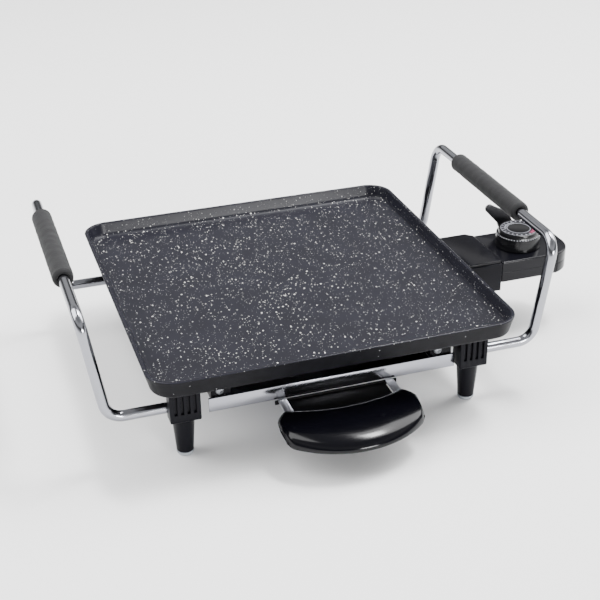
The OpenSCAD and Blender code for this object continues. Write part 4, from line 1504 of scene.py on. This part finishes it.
def build_lever():
    """Ejector lever: a cranked thumb lever with soft edges and a pivot hole."""
    elbow = LEVER_ELBOW
    tip = Vector((-math.sin(LEVER_LEAN), math.cos(LEVER_LEAN))) * LEVER_REACH
    lower = math.degrees(math.atan2(elbow.y, elbow.x))
    upper = math.degrees(math.atan2(tip.y - elbow.y, tip.x - elbow.x))
    inner = math.radians((lower + upper) / 2 + 90)
    bend = elbow + ELBOW_R * Vector((math.cos(inner), math.sin(inner)))
    outline = arc((0, 0), HUB_R, lower + 90, lower + 270, 24)
    outline += arc(elbow, ELBOW_R, lower - 90, upper - 90, 6)
    outline += arc(tip, TIP_R, upper - 90, upper + 90, 16) + [tuple(bend)]
    outline = [Vector(p) for p in outline]
    y0, y1 = LEVER_Y
    bm = bmesh.new()
    pivot_x, pivot_z = LEVER_PIVOT
    loops = []
    for inset, y in round_edges(y0, y1, 1.1, 1.1, 4):
        loops.append([(pivot_x + p.x, y, pivot_z + p.y) for p in pushed_in(outline, inset)])
    rows = skin(bm, loops, False, False)
    bore = arc((0, 0), PIVOT_BORE_R, 0, 345, 23)
    hole = skin(bm, [[(pivot_x + x, y, pivot_z + z) for x, z in bore] for y in (y0, y1)], False, False)
    fill_between(bm, rows[0], hole[0])
    fill_between(bm, rows[-1], hole[1])
    tidy(bm)
    piece = mesh_from("ejector_lever", bm, finish("lever"), 50)
    place(piece, "lever", "lever_plastic", "eject_lever")


REFINED = {
    # node: (piece name, finish, body, slot, bevel mm)
    "drain_chute": ("grease_chute", "black_sheet", "griddle", "black_sheet", 0.25),
    "heating_element": ("heater_tube", "sheath", "griddle", "element_sheath", 0.0),
    "terminal_pins": ("heater_pins", "steel", "griddle", "terminal_pins", 0.0),
    "ceramic_bushings": ("steatite_bushings", "ceramic", "griddle", "ceramic", 0.3),
    "element_clamps": ("heater_clamps", "strip", "griddle", "bright_sheet", 0.0),
    "probe_guide": ("probe_tube", "steel", "griddle", "bright_sheet", 0.0),
    "heat_reflector": ("reflector_sheet", "strip", "griddle", "bright_sheet", 0.0),
    "left_rail": ("left_tray_rail", "rail", "griddle", "rail_sheet", 0.25),
    "right_rail": ("right_tray_rail", "rail", "griddle", "rail_sheet", 0.25),
    "drip_tray": ("folded_drip_tray", "tray_sheet", "tray", "tray_sheet", 0.35),
    "handle_brackets": ("handle_arms", "strip", "tray", "bright_sheet", 0.3),
    "terminal_block": ("plug_block", "phenolic", "controller", "phenolic", 0.6),
    "contact_sleeves": ("plug_sleeves", "brass", "controller", "brass_contacts", 0.0),
    "contact_leads": ("plug_leads", "brass", "controller", "brass_contacts", 0.0),
    "probe_rod": ("sensing_probe", "steel", "controller", "probe_steel", 0.0),
    "thermostat_unit": ("thermostat_block", "phenolic", "controller", "thermostat_body", 0.5),
    "cord_gland": ("cord_collar", "phenolic", "controller", "cord_rubber", 0.5),
    "lever_pin": ("lever_pivot", "steel", "controller", "probe_steel", 0.3),
    "knob_shaft": ("knob_spindle", "steel", "knob", "probe_steel", 0.0),
}


def build_refined():
    """Pieces whose CAD shape is right and only needs softened edges and its finish."""
    for node, (name, look, body, slot, bevel) in REFINED.items():
        piece = refined_copy(node, name, finish(look), bevel)
        place(piece, body, slot, node)


# ---------------------------------------------------------------- stage

CAMERA_AZIMUTH = math.radians(-18.035)
CAMERA_ELEVATION = math.radians(28.028)
CAMERA_ROLL = math.radians(-0.834)
CAMERA_TARGET = Vector((0.0012, -0.0370, 0.0))
CAMERA_DISTANCE = 1.0174
CAMERA_LENS = 73.13
FLOOR_GAP = 0.2
# sine of the height above the horizon, and how bright the surroundings are there
DOME_BANDS = [(0.0, 0.75), (0.1, 0.7), (0.16, 0.12), (0.34, 0.12)]
DOME_BANDS += [(0.43, 0.9), (0.6, 0.9), (0.75, 0.5), (1.0, 0.5)]


def build_camera():
    """Camera in front of the griddle, above it and a little to its left."""
    data = bpy.data.cameras.new("view_camera")
    data.lens = CAMERA_LENS
    data.sensor_width = 36.0
    data.clip_start = 0.05
    data.clip_end = 50.0
    camera = bpy.data.objects.new("view_camera", data)
    bpy.context.scene.collection.objects.link(camera)
    back = Vector(
        (
            math.sin(CAMERA_AZIMUTH) * math.cos(CAMERA_ELEVATION),
            -math.cos(CAMERA_AZIMUTH) * math.cos(CAMERA_ELEVATION),
            math.sin(CAMERA_ELEVATION),
        )
    )
    turn = (-back).to_track_quat("-Z", "Y").to_matrix() @ Matrix.Rotation(CAMERA_ROLL, 3, "Z")
    camera.matrix_world = Matrix.Translation(CAMERA_TARGET + back * CAMERA_DISTANCE) @ turn.to_4x4()
    bpy.context.scene.camera = camera


def soft_light(name, position, target, width, height, watts):
    """A soft box aimed at a point."""
    data = bpy.data.lights.new(name, "AREA")
    data.shape = "RECTANGLE"
    data.size = width
    data.size_y = height
    data.energy = watts
    light = bpy.data.objects.new(name, data)
    bpy.context.scene.collection.objects.link(light)
    light.location = position
    light.rotation_mode = "QUATERNION"
    light.rotation_quaternion = (Vector(target) - Vector(position)).to_track_quat("-Z", "Y")


def build_stage():
    """Pale floor, banded surroundings and soft boxes."""
    bm = bmesh.new()
    bmesh.ops.create_grid(bm, x_segments=8, y_segments=8, size=8.0)
    for vert in bm.verts:
        vert.co.z = (TIP_BOTTOM - FLOOR_GAP) * MM
    material, _, shader = new_material("matt_paper_floor")
    shader.inputs["Base Color"].default_value = srgb("f4f4f4")
    shader.inputs["Roughness"].default_value = 0.9
    shader.inputs["Specular IOR Level"].default_value = 0.1
    floor = mesh_from("studio_floor", bm, material)
    dome_of_light()
    soft_light("left_box", (-1.6, 0.4, 2.0), (-0.2, 0.2, 0.0), 2.0, 2.8, 130)
    soft_light("right_box", (1.9, 0.4, 2.0), (0.2, 0.2, 0.0), 1.6, 2.8, 140)
    soft_light("key_box", (0.76, 0.12, 1.85), (0.0, -0.1, 0.0), 0.5, 0.25, 34)
    soft_light("front_box", (0.9, -2.9, 0.5), (0.0, 0.1, 0.0), 0.9, 0.5, 75)


def dome_of_light():
    """Bright surroundings with a dark band above the horizon, which lines the chromed wires."""
    world = bpy.data.worlds.new("studio_dome")
    world.use_nodes = True
    tree = world.node_tree
    tree.nodes.clear()
    direction = add(tree, "ShaderNodeTexCoord").outputs["Generated"]
    height = add(tree, "ShaderNodeSeparateXYZ", {0: direction}).outputs["Z"]
    above = add(tree, "ShaderNodeMath", {0: height, 1: 0.0}, operation="MAXIMUM")
    stops = [(stop, (level, level, level, 1)) for stop, level in DOME_BANDS]
    band = ramp(tree, above.outputs[0], stops)
    sky = add(tree, "ShaderNodeBackground", {"Color": band, "Strength": 1.0})
    add(tree, "ShaderNodeOutputWorld", {"Surface": sky.outputs[0]})
    bpy.context.scene.world = world


# ---------------------------------------------------------------- add-on classes


class GRIDDLE_OT_stage(bpy.types.Operator):
    """Make the camera, floor and lights"""

    bl_idname = "griddle.stage"
    bl_label = "Stage"

    def execute(self, context):
        build_camera()
        build_stage()
        return {"FINISHED"}


class GRIDDLE_OT_plate(bpy.types.Operator):
    """Make the coated plate and its castings"""

    bl_idname = "griddle.plate"
    bl_label = "Plate"

    def execute(self, context):
        build_plate()
        build_castings()
        return {"FINISHED"}


class GRIDDLE_OT_handles(bpy.types.Operator):
    """Make the chromed handle wires and their foam sleeves"""

    bl_idname = "griddle.handles"
    bl_label = "Handles"

    def execute(self, context):
        build_handles()
        build_grips()
        return {"FINISHED"}


class GRIDDLE_OT_feet(bpy.types.Operator):
    """Make the ribbed feet and their rubber tips"""

    bl_idname = "griddle.feet"
    bl_label = "Feet"

    def execute(self, context):
        build_feet()
        return {"FINISHED"}


class GRIDDLE_OT_tray_handle(bpy.types.Operator):
    """Make the glossy tray handle"""

    bl_idname = "griddle.tray_handle"
    bl_label = "Tray handle"

    def execute(self, context):
        build_tray_handle()
        return {"FINISHED"}


class GRIDDLE_OT_controller(bpy.types.Operator):
    """Make the controller's case"""

    bl_idname = "griddle.controller"
    bl_label = "Controller"

    def execute(self, context):
        build_controller()
        return {"FINISHED"}


class GRIDDLE_OT_socket(bpy.types.Operator):
    """Make the socket that the controller plugs into"""

    bl_idname = "griddle.socket"
    bl_label = "Socket"

    def execute(self, context):
        build_socket()
        return {"FINISHED"}


class GRIDDLE_OT_knob(bpy.types.Operator):
    """Make the temperature knob with its printed ring and beads"""

    bl_idname = "griddle.knob"
    bl_label = "Knob"

    def execute(self, context):
        build_knob()
        return {"FINISHED"}


class GRIDDLE_OT_screws(bpy.types.Operator):
    """Make the sets of screws"""

    bl_idname = "griddle.screws"
    bl_label = "Screws"

    def execute(self, context):
        build_screws()
        return {"FINISHED"}


class GRIDDLE_OT_lever(bpy.types.Operator):
    """Make the lever and its return spring"""

    bl_idname = "griddle.lever"
    bl_label = "Lever"

    def execute(self, context):
        build_spring()
        build_lever()
        return {"FINISHED"}


class GRIDDLE_OT_fittings(bpy.types.Operator):
    """Make the tray, rails, heater and other fittings"""

    bl_idname = "griddle.fittings"
    bl_label = "Fittings"

    def execute(self, context):
        build_refined()
        return {"FINISHED"}


class GRIDDLE_PT_panel(bpy.types.Panel):
    """Sidebar panel with the griddle's settings and operators"""

    bl_label = "Electric griddle"
    bl_idname = "GRIDDLE_PT_panel"
    bl_space_type = "VIEW_3D"
    bl_region_type = "UI"
    bl_category = "Griddle"

    def draw(self, context):
        for group in GROUPS:
            look = getattr(context.scene, group)
            for key in look.__annotations__:
                self.layout.prop(look, key)
        for operator in OPERATORS:
            self.layout.operator(operator.bl_idname)


GROUPS = {
    "griddle_coating": GriddleCoating,
    "griddle_metal": GriddleMetal,
    "griddle_plastic": GriddlePlastic,
    "griddle_dial": GriddleDial,
}
OPERATORS = (
    GRIDDLE_OT_stage,
    GRIDDLE_OT_plate,
    GRIDDLE_OT_handles,
    GRIDDLE_OT_feet,
    GRIDDLE_OT_tray_handle,
    GRIDDLE_OT_controller,
    GRIDDLE_OT_socket,
    GRIDDLE_OT_knob,
    GRIDDLE_OT_screws,
    GRIDDLE_OT_lever,
    GRIDDLE_OT_fittings,
)


def register():
    """Registers the classes and hangs the settings on the scene."""
    for cls in (*GROUPS.values(), *OPERATORS, GRIDDLE_PT_panel):
        bpy.utils.register_class(cls)
    for name, cls in GROUPS.items():
        setattr(bpy.types.Scene, name, bpy.props.PointerProperty(type=cls))


def unregister():
    """Takes the settings and classes away again."""
    for name in GROUPS:
        delattr(bpy.types.Scene, name)
    for cls in reversed((*GROUPS.values(), *OPERATORS, GRIDDLE_PT_panel)):
        bpy.utils.unregister_class(cls)


def main():
    """Builds everything in order."""
    register()
    bpy.ops.griddle.stage()
    bpy.ops.griddle.plate()
    bpy.ops.griddle.handles()
    bpy.ops.griddle.feet()
    bpy.ops.griddle.tray_handle()
    bpy.ops.griddle.controller()
    bpy.ops.griddle.socket()
    bpy.ops.griddle.knob()
    bpy.ops.griddle.screws()
    bpy.ops.griddle.lever()
    bpy.ops.griddle.fittings()


if __name__ == "__main__":
    main()
